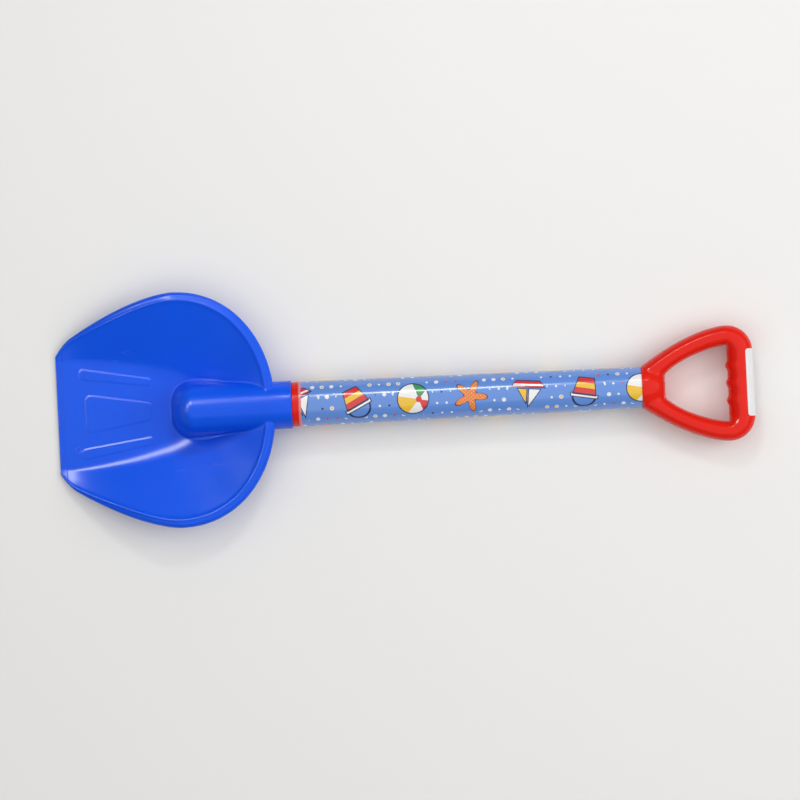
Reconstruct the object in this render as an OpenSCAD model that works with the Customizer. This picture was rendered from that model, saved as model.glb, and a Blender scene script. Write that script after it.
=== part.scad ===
// Toy sand shovel: a dished blade with a moulded socket, a tapered tube in a printed film sleeve,
// and a D-grip made of two shells. It lies on its back with the scoop facing up: the shaft runs
// along X, the blade points to -X, and Z = 0 is the ground under the blade's flat floor.

/* [Blade] */
// Length of the dish along the shaft, front edge to rear rim
dish_len = 220; // [200:1:240]
// Greatest width of the dish over its lip
dish_w = 236; // [205:0.2:270]
// Width of the front edge between its rounded corners
front_w = 119; // [100:1:135]
// Distance of the widest place behind the front edge
widest_x = 121; // [108:1:135]
// How far a rounded front corner stands in from its sharp point
corner_in = 7.5; // [4:0.5:12]
// Length over which a front corner is rounded
corner_len = 17; // [10:1:25]
// Height of the rim above the ground
rim_h = 43; // [34:0.5:46]
// Thickness of the dish
blade_wall = 2.4; // [1.8:0.1:3.2]
// Length of the flat floor, which ends under the hump
floor_len = 146; // [140:1:160]
// How far the soft fold at the floor's edge reaches into the floor
fold_lead = 7; // [4:0.5:12]
// Width of the turned lip round the sides and the back
lip_w = 8.5; // [5:0.5:12]
// Width of the lip at the front corners
lip_front_w = 3; // [2:0.5:5]
// Drop of the lip's edge below the rim
lip_drop = 4; // [2:0.5:7]

/* [Raised panels] */
// Distance of the panels behind the front edge
panel_x = 23.5; // [16:0.5:30]
// Length of the panels
panel_len = 71.5; // [54:0.5:76]
// How far the middle panel's front stands back from the others
mid_inset = 4.5; // [0:0.5:8]
// Height of the panels above the floor
panel_h = 1.3; // [0.6:0.1:2.5]
// Width of the middle panel at its front
mid_front_w = 39.5; // [28:0.5:46]
// Width of the middle panel at its rear
mid_rear_w = 17; // [14:0.5:26]
// Corner radius of the middle panel
mid_r = 5.5; // [3:0.5:7]
// Width of a side panel at its front
side_front_w = 10.7; // [8:0.1:13]
// Width of a side panel at its rear
side_rear_w = 7.5; // [6.5:0.1:10]
// Distance of a side panel's front end from the middle line
side_front_y = 40.6; // [36:0.2:44]
// Distance of a side panel's rear end from the middle line
side_rear_y = 29.2; // [26:0.2:31]
// Corner radius of a side panel
side_r = 3; // [1:0.5:3]

/* [Socket] */
// Outside diameter of the socket
socket_d = 48; // [46:0.5:54]
// Length of the round neck behind the rear rim
neck_len = 16.5; // [10:0.5:30]
// Wall of the socket at its mouth
socket_wall = 2.3; // [1.6:0.1:2.6]
// Depth of the bore from the mouth
bore_depth = 104; // [80:1:108]
// How much the bore's radius draws in at its blind end
bore_draft = 0.6; // [0.2:0.1:1.2]
// Gap between the ground and the underside of the socket
axis_lift = 1; // [0.5:0.5:6]
// Distance of the hump's foot behind the front edge
nose_x = 114.5; // [104:0.5:116]
// How far the hump's front leans back from its foot
nose_lean = 8; // [5:0.5:12]
// Rounding of the hump's top edge at the nose
nose_r = 14; // [8:0.5:18]
// Width of the hump at its foot
hump_w = 58; // [54:0.2:66]
// Corner radius of the hump's foot
hump_r = 20; // [10:0.5:24]
// How far the hump stands out over the socket
hump_over = 0.4; // [0.3:0.1:1]

/* [Tube] */
// Diameter of the tube at the blade end
tube_blade_d = 44.6; // [43.6:0.2:46]
// Diameter of the tube at the grip end
tube_grip_d = 40.4; // [36:0.2:42]
// Length of tube between the socket and the grip
tube_len = 350.5; // [260:0.5:460]
// Wall of the tube
tube_wall = 2; // [1.4:0.1:2.6]
// Gap between the tube's end and the bottom of the bore
tube_end_gap = 3; // [1:0.5:8]
// Distance of the snap bead from the socket's mouth
snap_x = 22; // [12:1:40]
// Width of the snap bead
snap_w = 4; // [2:0.5:6]
// Height of the snap bead
snap_h = 0.5; // [0.2:0.1:0.9]

/* [Sleeve] */
// Width of the bare band of tube next to the socket
band_w = 6.5; // [3:0.5:15]
// Thickness of the film
sleeve_wall = 0.3; // [0.2:0.05:0.5]

/* [Grip] */
// Length of the grip beyond the tube
grip_len = 113; // [100:1:130]
// Greatest width of the grip
grip_w = 116; // [104:1:130]
// Depth of the arms and the crossbar, front to back
grip_depth = 29; // [24:0.5:34]
// Depth of the arms where they leave the neck
arm_root_depth = 33; // [28:0.5:37]
// Width of the crossbar
bar_w = 26; // [22:0.5:30]
// Rounding of the grip's outer corners
grip_r = 26; // [22:0.5:30]
// Distance from the neck to the finger opening
hole_x = 24; // [20:0.5:28]
// Width of the opening's flat front
hole_front_w = 21.5; // [14:0.5:26]
// Width of the opening at the crossbar
hole_rear_w = 76; // [66:0.5:80]
// Wall of the shells
grip_wall = 2.2; // [1.6:0.1:2.8]
// Height of the flat land at the parting line
seam_land = 1; // [0.6:0.1:1.6]
// Length of the spigot inside the tube
spigot_len = 38; // [20:1:60]
// Distance between finger ridges
ridge_pitch = 17.3; // [14:0.1:19]
// Height of a finger ridge
ridge_h = 1.9; // [0.5:0.1:2.5]
// Length of a finger ridge along the crossbar
ridge_w = 12; // [8:0.5:14]
// Diameter of a locating pin
pin_d = 4; // [3:0.2:5]
// Length of a locating pin past the parting line
pin_len = 6; // [3:0.5:8]

/* [Label] */
// Length of the label along the crossbar
label_len = 67.4; // [40:0.2:70]
// How far the label reaches in from the crossbar's outer face
label_wrap = 8; // [5:0.5:11]
// Thickness of the label
label_wall = 0.2; // [0.15:0.05:0.4]

/* [Fits] */
// Clearance between pieces that fit together
fit_gap = 0.1; // [0.05:0.05:0.3]

/* [Hidden] */
$fn = 64;

// How far a cut or a joined solid runs past the face it meets
overrun = 1;

// Places along the shaft, from the blade's front edge
mouth_x = dish_len + neck_len;
grip_x = mouth_x + tube_len;
total_len = grip_x + grip_len;
front_x = -total_len / 2;
axis_z = socket_d / 2 + axis_lift;

// Turns a solid made along Z so that it runs along the shaft from its front edge
module along_shaft() translate([front_x, 0, axis_z]) rotate([0, 90, 0]) children();

// Smooth step from 0 to 1
function ease(t) = let (c = min(1, max(0, t))) c * c * (3 - 2 * c);
function mix(a, b, t) = a + (b - a) * t;
function unit(v) = v / norm(v);

// Faces of a surface whose points are closed sections of equal length, one after the other.
// Where the sections form a loop, the last one is joined to the first.
function quad(a, b, c, d) = [[a, b, c], [a, c, d]];
function skin(rows, cols, looped) = [
  for (i = [0 : rows - (looped ? 1 : 2)], j = [0 : cols - 1])
    let (
      here = i * cols,
      next = (i + 1) % rows * cols,
      k = (j + 1) % cols
    )
    each quad(here + j, next + j, next + k, here + k)
];

// Outline of corners [x, y, radius], each rounded by an arc
function rounded(corners, steps) = [
  for (i = [0 : len(corners) - 1])
    let (
      n = len(corners),
      here = [corners[i].x, corners[i].y],
      back = corners[(i + n - 1) % n],
      next = corners[(i + 1) % n],
      u = unit([back.x, back.y] - here),
      v = unit([next.x, next.y] - here),
      half = acos(u * v) / 2,
      centre = here + unit(u + v) * corners[i].z / sin(half),
      from = here + u * corners[i].z / tan(half) - centre,
      to = here + v * corners[i].z / tan(half) - centre
    )
    for (k = [0 : steps])
      centre + corners[i].z * unit(mix(from, to, k / steps))
];

// Dish of the blade.
// Rows run from the front edge to the rear rim. Each row crosses the dish from lip to lip over
// the flat floor, the fold, the sloping wing, the bead and the lip.
dish_rows = 44;
// Share of the rows that lie in front of the widest place
front_rows_share = 0.56;
// How the front rows crowd towards the front corners
front_crowd_share = 1.5;
// Outward bend of the side from the front corner to the widest place
side_bend_share = 1.58;
// Roundness of the rear rim, where 2 is an ellipse
rear_round_share = 2.12;
// Rise of the rim from the front corner to the widest place
rim_bend_share = 1.3;
// Bend of the floor's edge
floor_bend_share = 1.35;
// Place of a floor point as a share of its rim point's distance from the front edge
fold_follow_share = 0.83;
// Share of the floor's length at the last row, and where the rear rim stops inside the socket
floor_end_share = 0.995;
rim_end_share = 0.42;
// Share of the wing that the soft fold takes up
fold_share = 0.22;
// Share of the widest distance over which the lip gains its full width
lip_grow_share = 0.6;
// Crossing points of half a row, as shares of the floor, the wing and the lip
floor_shares = [0, 0.5, 1];
wing_shares = [0.07, 0.14, 0.21, 0.28, 0.52, 0.76, 0.94, 1];
lip_shares = [0.3, 0.65, 1];

// Half width of the outline at a distance behind the front edge, before the widest place
function side_y(x) =
  let (sharp = front_w / 2 + corner_in)
  sharp + (dish_w / 2 - sharp) * (1 - pow(1 - x / widest_x, side_bend_share))
  - corner_in * pow(max(0, 1 - x / corner_len), 2);

// Point of the rim for row share q
rim_end_angle = asin(pow(rim_end_share * socket_d / dish_w, rear_round_share / 2));
function rounder(t) = pow(max(0, t), 2 / rear_round_share);
function rim_point(q) =
  q <= front_rows_share
  ? let (x = widest_x * pow(q / front_rows_share, front_crowd_share)) [x, side_y(x)]
  : let (a = mix(90, rim_end_angle, (q - front_rows_share) / (1 - front_rows_share)))
    [widest_x + (dish_len - widest_x) * rounder(cos(a)), dish_w / 2 * rounder(sin(a))];

// Height share of the rim for row share q: nothing at the front, whole from the widest place on
function rim_share(q) = 1 - pow(max(0, 1 - rim_point(q).x / widest_x), rim_bend_share);

// Point of the floor's edge for row share q
floor_turn_x = fold_follow_share * widest_x;
function floor_edge_x(q) =
  q <= front_rows_share
  ? fold_follow_share * rim_point(q).x
  : mix(floor_turn_x, floor_end_share * floor_len,
        sin(90 * (q - front_rows_share) / (1 - front_rows_share)));
function floor_point(q) =
  let (
    x = floor_edge_x(q),
    fold_y = front_w / 2 * sqrt(1 - pow(x / floor_len, floor_bend_share))
  )
  [x, fold_y * fold_y / (fold_y + fold_lead)];

function lip_width(q) =
  mix(lip_front_w, lip_w, ease(rim_point(q).x / (lip_grow_share * widest_x)));

// Rise over the wing: a parabola through the fold, then straight
function wing_rise(t) =
  (t < fold_share ? t * t / (2 * fold_share) : t - fold_share / 2) / (1 - fold_share / 2);

// Half a row's underside, from the middle to the lip
function half_row(q) =
  let (
    rim = rim_point(q),
    floor_edge = floor_point(q),
    bead = rim - lip_width(q) * unit(rim - floor_edge),
    rise = (rim_h - blade_wall) * rim_share(q),
    drop = lip_drop * rim_share(q)
  )
  [
    for (s = floor_shares) [floor_edge.x, floor_edge.y * s, 0],
    for (s = wing_shares) let (p = mix(floor_edge, bead, s)) [p.x, p.y, rise * wing_rise(s)],
    for (s = lip_shares) let (p = mix(bead, rim, s)) [p.x, p.y, rise - drop * s * s]
  ];

function mirrored(row) = [for (k = [len(row) - 1 : -1 : 1]) [row[k].x, -row[k].y, row[k].z]];
function full_row(q) = let (row = half_row(q)) concat(mirrored(row), row);

// Section of the dish at row share q: the underside from lip to lip, then back over the top
function dish_section(q) =
  let (row = full_row(q))
  concat(row, [for (k = [len(row) - 1 : -1 : 0]) row[k] + [0, 0, blade_wall]]);

module dish() {
  sections = [for (i = [0 : dish_rows]) dish_section(i / dish_rows)];
  cols = len(sections[0]);
  last = dish_rows * cols;
  ends = [
    for (j = [0 : cols / 2 - 2])
      let (k = cols - 1 - j)
      each concat(quad(j, j + 1, k - 1, k), quad(last + k, last + k - 1, last + j + 1, last + j))
  ];
  polyhedron([for (s = sections) each s], concat(skin(dish_rows + 1, cols, false), ends));
}

// Raised panels on the floor
panel_steps = 8;
module panel(points) translate([0, 0, blade_wall / 2])
  linear_extrude(blade_wall / 2 + panel_h) polygon(rounded(points, panel_steps));

module panels() {
  rear_x = panel_x + panel_len;
  panel([
    [panel_x + mid_inset, -mid_front_w / 2, mid_r],
    [rear_x, -mid_rear_w / 2, mid_r],
    [rear_x, mid_rear_w / 2, mid_r],
    [panel_x + mid_inset, mid_front_w / 2, mid_r]
  ]);
  for (side = [-1, 1]) panel([
    [panel_x, side * side_front_y - side_front_w / 2, side_r],
    [rear_x, side * side_rear_y - side_rear_w / 2, side_r],
    [rear_x, side * side_rear_y + side_rear_w / 2, side_r],
    [panel_x, side * side_front_y + side_front_w / 2, side_r]
  ]);
}

// Hump over the socket: a foot on the floor under a round top whose nose edge is rounded
hump_steps = 4;
hump_facets = 48;
// Place of the foot's rear end as a share of the way from the nose to the rear rim
foot_end_share = 0.47;
module hump() {
  top_r = socket_d / 2 + hump_over;
  nose_top_x = nose_x + nose_lean;
  round_x = nose_top_x + nose_r;
  foot_end_x = mix(nose_x, dish_len, foot_end_share);
  rear_x = dish_len - lip_w;
  hull() {
    linear_extrude(blade_wall) polygon(rounded([
      [nose_x, -hump_w / 2, hump_r],
      [foot_end_x, -hump_w / 2, hump_r],
      [foot_end_x, hump_w / 2, hump_r],
      [nose_x, hump_w / 2, hump_r]
    ], hump_steps));
    translate([0, 0, axis_z]) rotate([0, 90, 0]) {
      translate([0, 0, round_x]) cylinder(r = top_r, h = rear_x - round_x, $fn = hump_facets);
      for (k = [1 : hump_steps]) let (a = 90 * k / hump_steps)
        translate([0, 0, nose_top_x + nose_r * (1 - sin(a))])
          cylinder(r = top_r - nose_r * (1 - cos(a)), h = blade_wall, $fn = hump_facets);
    }
  }
}

// Profile [radius, place] of the tube's plug in the socket: it swells at the snap bead
bore_mouth_r = socket_d / 2 - socket_wall;
function plug_r(depth) = bore_mouth_r - bore_draft * depth / bore_depth;
function plug_profile(end_depth, grow) = [
  [plug_r(end_depth) + grow, mouth_x - end_depth],
  [plug_r(snap_x + snap_w / 2) + grow, mouth_x - snap_x - snap_w / 2],
  [plug_r(snap_x) + snap_h + grow, mouth_x - snap_x],
  [plug_r(snap_x - snap_w / 2) + grow, mouth_x - snap_x + snap_w / 2],
  [bore_mouth_r + grow, mouth_x]
];

module blade() {
  color("royalblue") difference() {
    union() {
      translate([front_x, 0, 0]) {
        dish();
        panels();
        hump();
      }
      along_shaft() translate([0, 0, mouth_x - bore_depth]) cylinder(d = socket_d, h = bore_depth);
    }
    along_shaft() rotate_extrude() polygon(concat(
      [[0, mouth_x - bore_depth]],
      plug_profile(bore_depth, 0),
      [[bore_mouth_r, mouth_x + overrun], [0, mouth_x + overrun]]
    ));
  }
}

// Tapered tube: a plug in the socket, a shoulder on the socket's mouth, then the visible taper
module shaft_tube() {
  end_depth = bore_depth - tube_end_gap;
  blade_r = tube_blade_d / 2;
  grip_r_end = tube_grip_d / 2;
  plug = plug_profile(end_depth, -fit_gap);
  bore_r = plug[0].x - tube_wall;
  color("crimson") along_shaft() rotate_extrude() polygon(concat(
    plug,
    [
      [blade_r, mouth_x],
      [grip_r_end, grip_x],
      [grip_r_end - tube_wall, grip_x],
      [bore_r, mouth_x],
      [bore_r, mouth_x - end_depth]
    ]
  ));
}

// Radius of the tube's outside at a place along the shaft
function tube_r(x) = mix(tube_blade_d, tube_grip_d, (x - mouth_x) / tube_len) / 2;

module printed_sleeve() {
  from = mouth_x + band_w;
  color("cornflowerblue") along_shaft() rotate_extrude() polygon([
    [tube_r(from), from],
    [tube_r(from) + sleeve_wall, from],
    [tube_r(grip_x) + sleeve_wall, grip_x],
    [tube_r(grip_x), grip_x]
  ]);
}

// D-grip.
// Stations run once round the finger opening. Each has an inner point on the opening, an outer
// point on the grip's outline, the height of its roll, the height of the neck over it and how far
// its inner side has the crossbar's soft slope.
neck_r = tube_grip_d / 2 + sleeve_wall;
neck_steps = 8;
arm_steps = 14;
corner_steps = 7;
bar_steps = 18;
section_steps = 8;
// Roundness of the rolls, of the dome over the neck and of the blend between the two
roll_power_share = 2.3;
dome_power_share = 3.2;
blend_power_share = 2.5;
// Bends of the outer and the inner side of an arm
outer_bend_share = 1.65;
inner_bend_share = 1.5;
inner_start_share = 0.77;
// Rise of the arms' rolls round the neck
neck_rise_share = 0.75;
// Place of the crossbar's crest, from the opening to the outline, and roundness of its inner side
bar_crest_share = 0.44;
bar_slope_share = 1.5;

corner_x = grip_len - grip_r;
corner_y = grip_w / 2 - grip_r;
hole_end_x = grip_len - bar_w;

// Station: [inner point, outer point, roll height, dome height, slope]
function neck_station(t) =
  let (a = 90 * t)
  [
    [hole_x, hole_front_w / 2 * t],
    [0, neck_r * sin(a)],
    arm_root_depth / 2 * pow(sin(a), neck_rise_share),
    neck_r * cos(a),
    0
  ];
function arm_station(t) = [
  [
    mix(hole_x, hole_end_x, t),
    mix(hole_front_w, hole_rear_w, pow(1 - pow(1 - t, inner_bend_share), inner_start_share)) / 2
  ],
  [corner_x * t, mix(neck_r, grip_w / 2, 1 - pow(1 - t, outer_bend_share))],
  mix(grip_depth, arm_root_depth, pow(1 - t, 2)) / 2,
  0,
  0
];
function corner_station(t) = [
  [hole_end_x, mix(hole_rear_w / 2, corner_y, t)],
  [corner_x + grip_r * sin(90 * t), corner_y + grip_r * cos(90 * t)],
  grip_depth / 2,
  0,
  ease(t)
];
function ridge(y) =
  let (d = abs(y - ridge_pitch * round(min(1, y / ridge_pitch))) / ridge_w)
  d < 1 / 2 ? ridge_h * pow(cos(180 * d), 2) : 0;
function bar_station(t) =
  let (y = corner_y * (1 - t))
  [[hole_end_x - ridge(y), y], [grip_len, y], grip_depth / 2, 0, 1];

half_stations = [
  for (k = [0 : neck_steps]) neck_station(k / neck_steps),
  for (k = [1 : arm_steps]) arm_station(k / arm_steps),
  for (k = [1 : corner_steps]) corner_station(k / corner_steps),
  for (k = [1 : bar_steps]) bar_station(k / bar_steps)
];
function flipped(s) = [[s[0].x, -s[0].y], [s[1].x, -s[1].y], s[2], s[3], s[4]];
stations = concat(
  [for (s = half_stations) flipped(s)],
  [for (k = [len(half_stations) - 2 : -1 : 1]) half_stations[k]]
);

function super_arc(t, power) = pow(max(0, 1 - pow(abs(t), power)), 1 / power);
// Height over a section at share s from the opening to the outline
function shell_z(s, roll, dome, slope) =
  let (
    crest = mix(1 / 2, bar_crest_share, slope),
    inside = s < crest,
    off = inside ? 1 - s / crest : (s - crest) / (1 - crest),
    a = roll * super_arc(off, inside ? mix(roll_power_share, bar_slope_share, slope) : roll_power_share),
    b = dome * super_arc(1 - s, dome_power_share)
  )
  pow(pow(a, blend_power_share) + pow(b, blend_power_share), 1 / blend_power_share);

// Closed section of a shell at one station: outside, flat rim, cavity, flat rim
function shell_section(station) =
  let (
    inner = station[0],
    outer = station[1],
    in_wall = inner + grip_wall * unit(outer - inner),
    out_wall = outer - grip_wall * unit(outer - inner),
    roll = max(0, station[2] - seam_land),
    dome = station[3],
    slope = station[4],
    dome_share = (neck_r - grip_wall) / neck_r,
    shares = [for (k = [0 : section_steps]) (1 - cos(180 * k / section_steps)) / 2]
  )
  [
    [inner.x, inner.y, 0],
    for (s = shares) let (p = mix(inner, outer, s)) [p.x, p.y, seam_land + shell_z(s, roll, dome, slope)],
    [outer.x, outer.y, 0],
    [out_wall.x, out_wall.y, 0],
    for (k = [section_steps : -1 : 0])
      let (s = shares[k], p = mix(in_wall, out_wall, s))
      [p.x, p.y, seam_land + shell_z(s, max(0, roll - grip_wall), dome * dome_share, slope)],
    [in_wall.x, in_wall.y, 0]
  ];

module hollow_ring() {
  sections = [for (s = stations) shell_section(s)];
  rows = len(sections);
  cols = len(sections[0]);
  polyhedron([for (s = sections) each s], skin(rows, cols, true));
}

// Half of the round spigot that plugs into the tube
spigot_r = tube_grip_d / 2 - tube_wall - fit_gap;
module half_spigot() {
  root = grip_wall / 2;
  rotate([0, 90, 0]) translate([0, 0, -spigot_len]) rotate([0, 0, 90])
    rotate_extrude(angle = 180) translate([spigot_r - grip_wall, 0])
      square([grip_wall, spigot_len + root]);
}

// Places of the locating pins, as shares of the way along an arm and along half the crossbar
pin_arm_share = 0.5;
pin_bar_share = 0.12;
pin_wall = 1.6;
pin_stations = [arm_station(pin_arm_share), bar_station(pin_bar_share)];

module at_pins() for (s = pin_stations, side = [-1, 1])
  translate([(s[0].x + s[1].x) / 2, side * (s[0].y + s[1].y) / 2, 0]) children();

boss_h = grip_depth / 2 - grip_wall / 2;

module grip_half() {
  hollow_ring();
  half_spigot();
}

module grip_front_shell() {
  color("red") translate([front_x + grip_x, 0, axis_z]) {
    grip_half();
    at_pins() translate([0, 0, -pin_len]) cylinder(d = pin_d, h = pin_len + boss_h);
  }
}

module grip_rear_shell() {
  color("firebrick") translate([front_x + grip_x, 0, axis_z]) mirror([0, 0, 1]) difference() {
    union() {
      grip_half();
      at_pins() cylinder(d = pin_d + 2 * pin_wall, h = boss_h);
    }
    at_pins() translate([0, 0, -overrun]) cylinder(d = pin_d + 2 * fit_gap, h = overrun + pin_len + overrun);
  }
}

// Label bent round the outside of the crossbar, front to back
label_steps = 12;
module grip_label() {
  half_w = bar_w / 2;
  roll = grip_depth / 2 - seam_land;
  first = 1 - label_wrap / bar_w;
  shares = [for (k = [0 : label_steps]) mix(first, 1, sin(90 * k / label_steps))];
  front = [for (s = shares) [hole_end_x + bar_w * s, seam_land + shell_z(s, roll, 0, 1)]];
  strip = concat(front, [for (k = [label_steps : -1 : 0]) [front[k].x, -front[k].y]]);
  middle = [hole_end_x + half_w, 0];
  function raised(lift) = [for (p = strip) middle + (p - middle) * (1 + lift / half_w)];
  inside = raised(fit_gap);
  outside = raised(fit_gap + label_wall);
  back = [for (k = [len(inside) - 1 : -1 : 0]) inside[k]];
  color("white") translate([front_x + grip_x, 0, axis_z]) rotate([90, 0, 0])
    linear_extrude(label_len, center = true) polygon(concat(outside, back));
}

blade();
shaft_tube();
printed_sleeve();
grip_front_shell();
grip_rear_shell();
grip_label();
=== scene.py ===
"""Looks of a toy sand shovel, laid out as a Blender add-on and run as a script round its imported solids.

Lengths are in metres. Along the shaft, x is counted from the blade's front edge, and in the grip from the
grip's neck. The shaft runs along X, the scoop faces up, and the ground is at Z = 0.
"""

import math
from typing import NamedTuple

import bmesh
import bpy
import numpy as np
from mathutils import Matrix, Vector


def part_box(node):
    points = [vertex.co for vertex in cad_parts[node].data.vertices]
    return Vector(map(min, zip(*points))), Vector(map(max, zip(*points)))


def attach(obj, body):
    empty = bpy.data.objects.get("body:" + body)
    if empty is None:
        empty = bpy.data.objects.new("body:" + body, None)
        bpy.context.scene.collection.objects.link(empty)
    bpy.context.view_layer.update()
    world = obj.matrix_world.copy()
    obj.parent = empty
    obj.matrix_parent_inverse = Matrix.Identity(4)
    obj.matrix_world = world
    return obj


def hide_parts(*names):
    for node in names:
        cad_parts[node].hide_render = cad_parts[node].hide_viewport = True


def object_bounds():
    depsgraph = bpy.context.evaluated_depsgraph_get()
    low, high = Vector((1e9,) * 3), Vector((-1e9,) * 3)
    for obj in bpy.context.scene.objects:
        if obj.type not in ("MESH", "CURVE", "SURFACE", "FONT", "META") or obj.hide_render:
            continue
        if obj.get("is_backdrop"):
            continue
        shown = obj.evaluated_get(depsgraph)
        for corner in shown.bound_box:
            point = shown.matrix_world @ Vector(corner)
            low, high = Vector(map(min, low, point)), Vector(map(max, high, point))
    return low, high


bl_info = {
    "name": "Toy sand shovel",
    "version": (1, 0, 0),
    "blender": (4, 5, 0),
    "location": "View3D > Sidebar > Shovel",
    "description": "Makes the visible pieces of a toy sand shovel round its solids",
    "category": "Add Mesh",
}

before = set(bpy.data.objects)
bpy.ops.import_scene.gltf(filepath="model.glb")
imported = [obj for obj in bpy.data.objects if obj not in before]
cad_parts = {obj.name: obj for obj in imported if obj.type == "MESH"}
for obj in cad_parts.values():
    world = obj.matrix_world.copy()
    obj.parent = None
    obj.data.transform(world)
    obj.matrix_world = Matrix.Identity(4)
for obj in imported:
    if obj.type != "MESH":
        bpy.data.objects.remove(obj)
CAD_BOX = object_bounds()
BODY = "root"
BLADE_LIGHT = "blade_light"
PRINT_MAP = "print"
MM = 0.001
TURN = 2 * math.pi
QUARTER = math.pi / 2

# Places that the solids give
BLADE_LOW, BLADE_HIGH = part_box("blade")
TUBE_LOW, TUBE_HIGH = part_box("shaft_tube")
SLEEVE_LOW, SLEEVE_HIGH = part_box("printed_sleeve")
LABEL_LOW, LABEL_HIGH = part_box("grip_label")
FRONT_X = BLADE_LOW.x
MOUTH_X = BLADE_HIGH.x - FRONT_X
FILM_X = SLEEVE_LOW.x - FRONT_X
GRIP_X = SLEEVE_HIGH.x - FRONT_X
AXIS_Z = (TUBE_LOW.z + TUBE_HIGH.z) / 2
FROM_FRONT = np.array([FRONT_X, 0, 0])

# Factors that mirror points across the middle plane, or lay them on it
MIRRORED = np.array([1, -1, 1])
ON_MIDDLE = np.array([1, 0, 1])

# Steps round the shaft, round a small edge, and towards a place that is found by halving
ROUND_STEPS = 144
EDGE_STEPS = 8
HALVINGS = 40


def length(name, millimetres, text):
    """A length that a user can change, given in millimetres and kept in metres."""
    return bpy.props.FloatProperty(
        name=name, description=text, default=millimetres * MM, unit="LENGTH", precision=5
    )


def tint(name, colour, text):
    """A colour that a user can change."""
    return bpy.props.FloatVectorProperty(
        name=name, description=text, default=colour, subtype="COLOR", size=3, min=0, max=1
    )


def number(name, value, text):
    """A plain number that a user can change."""
    return bpy.props.FloatProperty(name=name, description=text, default=value)


class BladeSizes(bpy.types.PropertyGroup):
    """Sizes of the blade."""

    dish_len: length("Dish length", 220, "Front edge to rear rim")
    dish_w: length("Dish width", 236, "Greatest width over the lip")
    front_w: length("Front width", 119, "Width of the front edge between its corners")
    widest_x: length("Widest place", 121, "Distance of the widest place behind the front edge")
    corner_in: length("Corner inset", 7.5, "How far a front corner stands in from its sharp point")
    corner_len: length("Corner length", 17, "Length over which a front corner is rounded")
    rim_h: length("Rim height", 43, "Height of the rim above the ground")
    wall: length("Wall", 2.4, "Thickness of the dish")
    floor_len: length("Floor length", 146, "Length of the flat floor")
    fold_lead: length("Fold lead", 7, "Reach of the soft fold into the floor")
    lip_w: length("Lip width", 8.5, "Width of the lip round the sides and the back")
    lip_front_w: length("Lip width in front", 3, "Width of the lip at the front corners")
    lip_drop: length("Lip drop", 4, "Drop of the lip's edge below the rim")
    bead_r: length("Bead rounding", 1.2, "Half the length over which the wing bends into the lip")
    bead_h: length("Bead height", 0.75, "Height of the bead along the lip's inner side")
    bead_w: length("Bead width", 2.0, "Half width of the bead")
    strip_w: length("Front strip", 6, "Width of the lower strip along the front edge")
    step_w: length("Front step", 0.6, "Width of the step behind the front strip")
    step_h: length("Front step height", 0.35, "Height of the step behind the front strip")
    socket_r: length("Socket radius", 24, "Outside radius of the socket")
    neck_draft: length("Neck draft", 0.05, "How much the neck's radius draws in at its mouth")
    bore_r: length("Bore radius", 21.7, "Radius of the bore at the mouth")
    bore_shown: length("Bore stretch", 8.8, "Length of the modelled stretch of bore")
    nose_x: length("Nose", 114.5, "Distance of the hump's foot behind the front edge")
    nose_lean: length("Nose lean", 8, "How far the hump's front leans back")
    nose_r: length("Nose rounding", 14, "Rounding of the hump's top at the nose")
    hump_over: length("Hump rise", 0.4, "How far the hump stands over the socket")
    hump_end: length("Hump end", 212, "Where the hump runs out into the neck")
    fillet: length("Hump fillet", 2.2, "Length of the fillet at the hump's foot")


class PanelSizes(bpy.types.PropertyGroup):
    """Sizes of the raised panels on the blade's floor."""

    panel_x: length("Panel place", 23.5, "Distance of the panels behind the front edge")
    panel_len: length("Panel length", 71.5, "Length of the panels")
    mid_inset: length("Middle inset", 4.5, "How far the middle panel's front stands back")
    panel_h: length("Panel height", 0.6, "Height of the panels above the floor")
    slope_w: length("Panel slope", 2.7, "Width of a panel's sloping edge")
    mid_front_w: length("Middle front width", 39.5, "Width of the middle panel at its front")
    mid_rear_w: length("Middle rear width", 17, "Width of the middle panel at its rear")
    mid_r: length("Middle corner", 5.5, "Corner radius of the middle panel")
    side_front_w: length("Side front width", 10.7, "Width of a side panel at its front")
    side_rear_w: length("Side rear width", 7.5, "Width of a side panel at its rear")
    side_front_y: length("Side front place", 40.6, "Distance of a side panel's front from the middle")
    side_rear_y: length("Side rear place", 29.2, "Distance of a side panel's rear from the middle")
    side_r: length("Side corner", 3, "Corner radius of a side panel")
    gate_x: length("Gate mark", 19, "Distance of the moulding gate behind the front edge")
    gate_y: length("Gate mark offset", -36, "Place of the moulding gate across the blade")
    gate_r: length("Gate mark radius", 2.8, "Radius of the ring round the moulding gate")
    gate_h: length("Gate mark height", 0.3, "Height of the ring round the moulding gate")


class ShaftSizes(bpy.types.PropertyGroup):
    """Sizes of the tube and of the film on it."""

    blade_r: length("Blade end radius", 22.3, "Radius of the tube at the blade")
    grip_r: length("Grip end radius", 20.2, "Radius of the tube at the grip")
    edge_r: length("Shoulder rounding", 0.7, "Rounding of the tube's shoulder at the socket")
    plug_len: length("Plug", 20, "Length of the modelled plug inside the socket")
    film_wall: length("Film", 0.3, "Thickness of the film")
    film_wave: length("Film end wave", 0.8, "How far the film's blade end wanders")
    film_ripple: length("Film ripple", 0.12, "Height of the ripples near the film's blade end")
    ripple_fade: length("Ripple fade", 24, "Length over which the ripples die away")
    ripple_twist: length("Ripple twist", 6.4, "Length over which a ripple turns on by one radian")
    clear_w: length("Clear margin", 2.6, "Width of the unprinted margin at the film's blade end")


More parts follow.
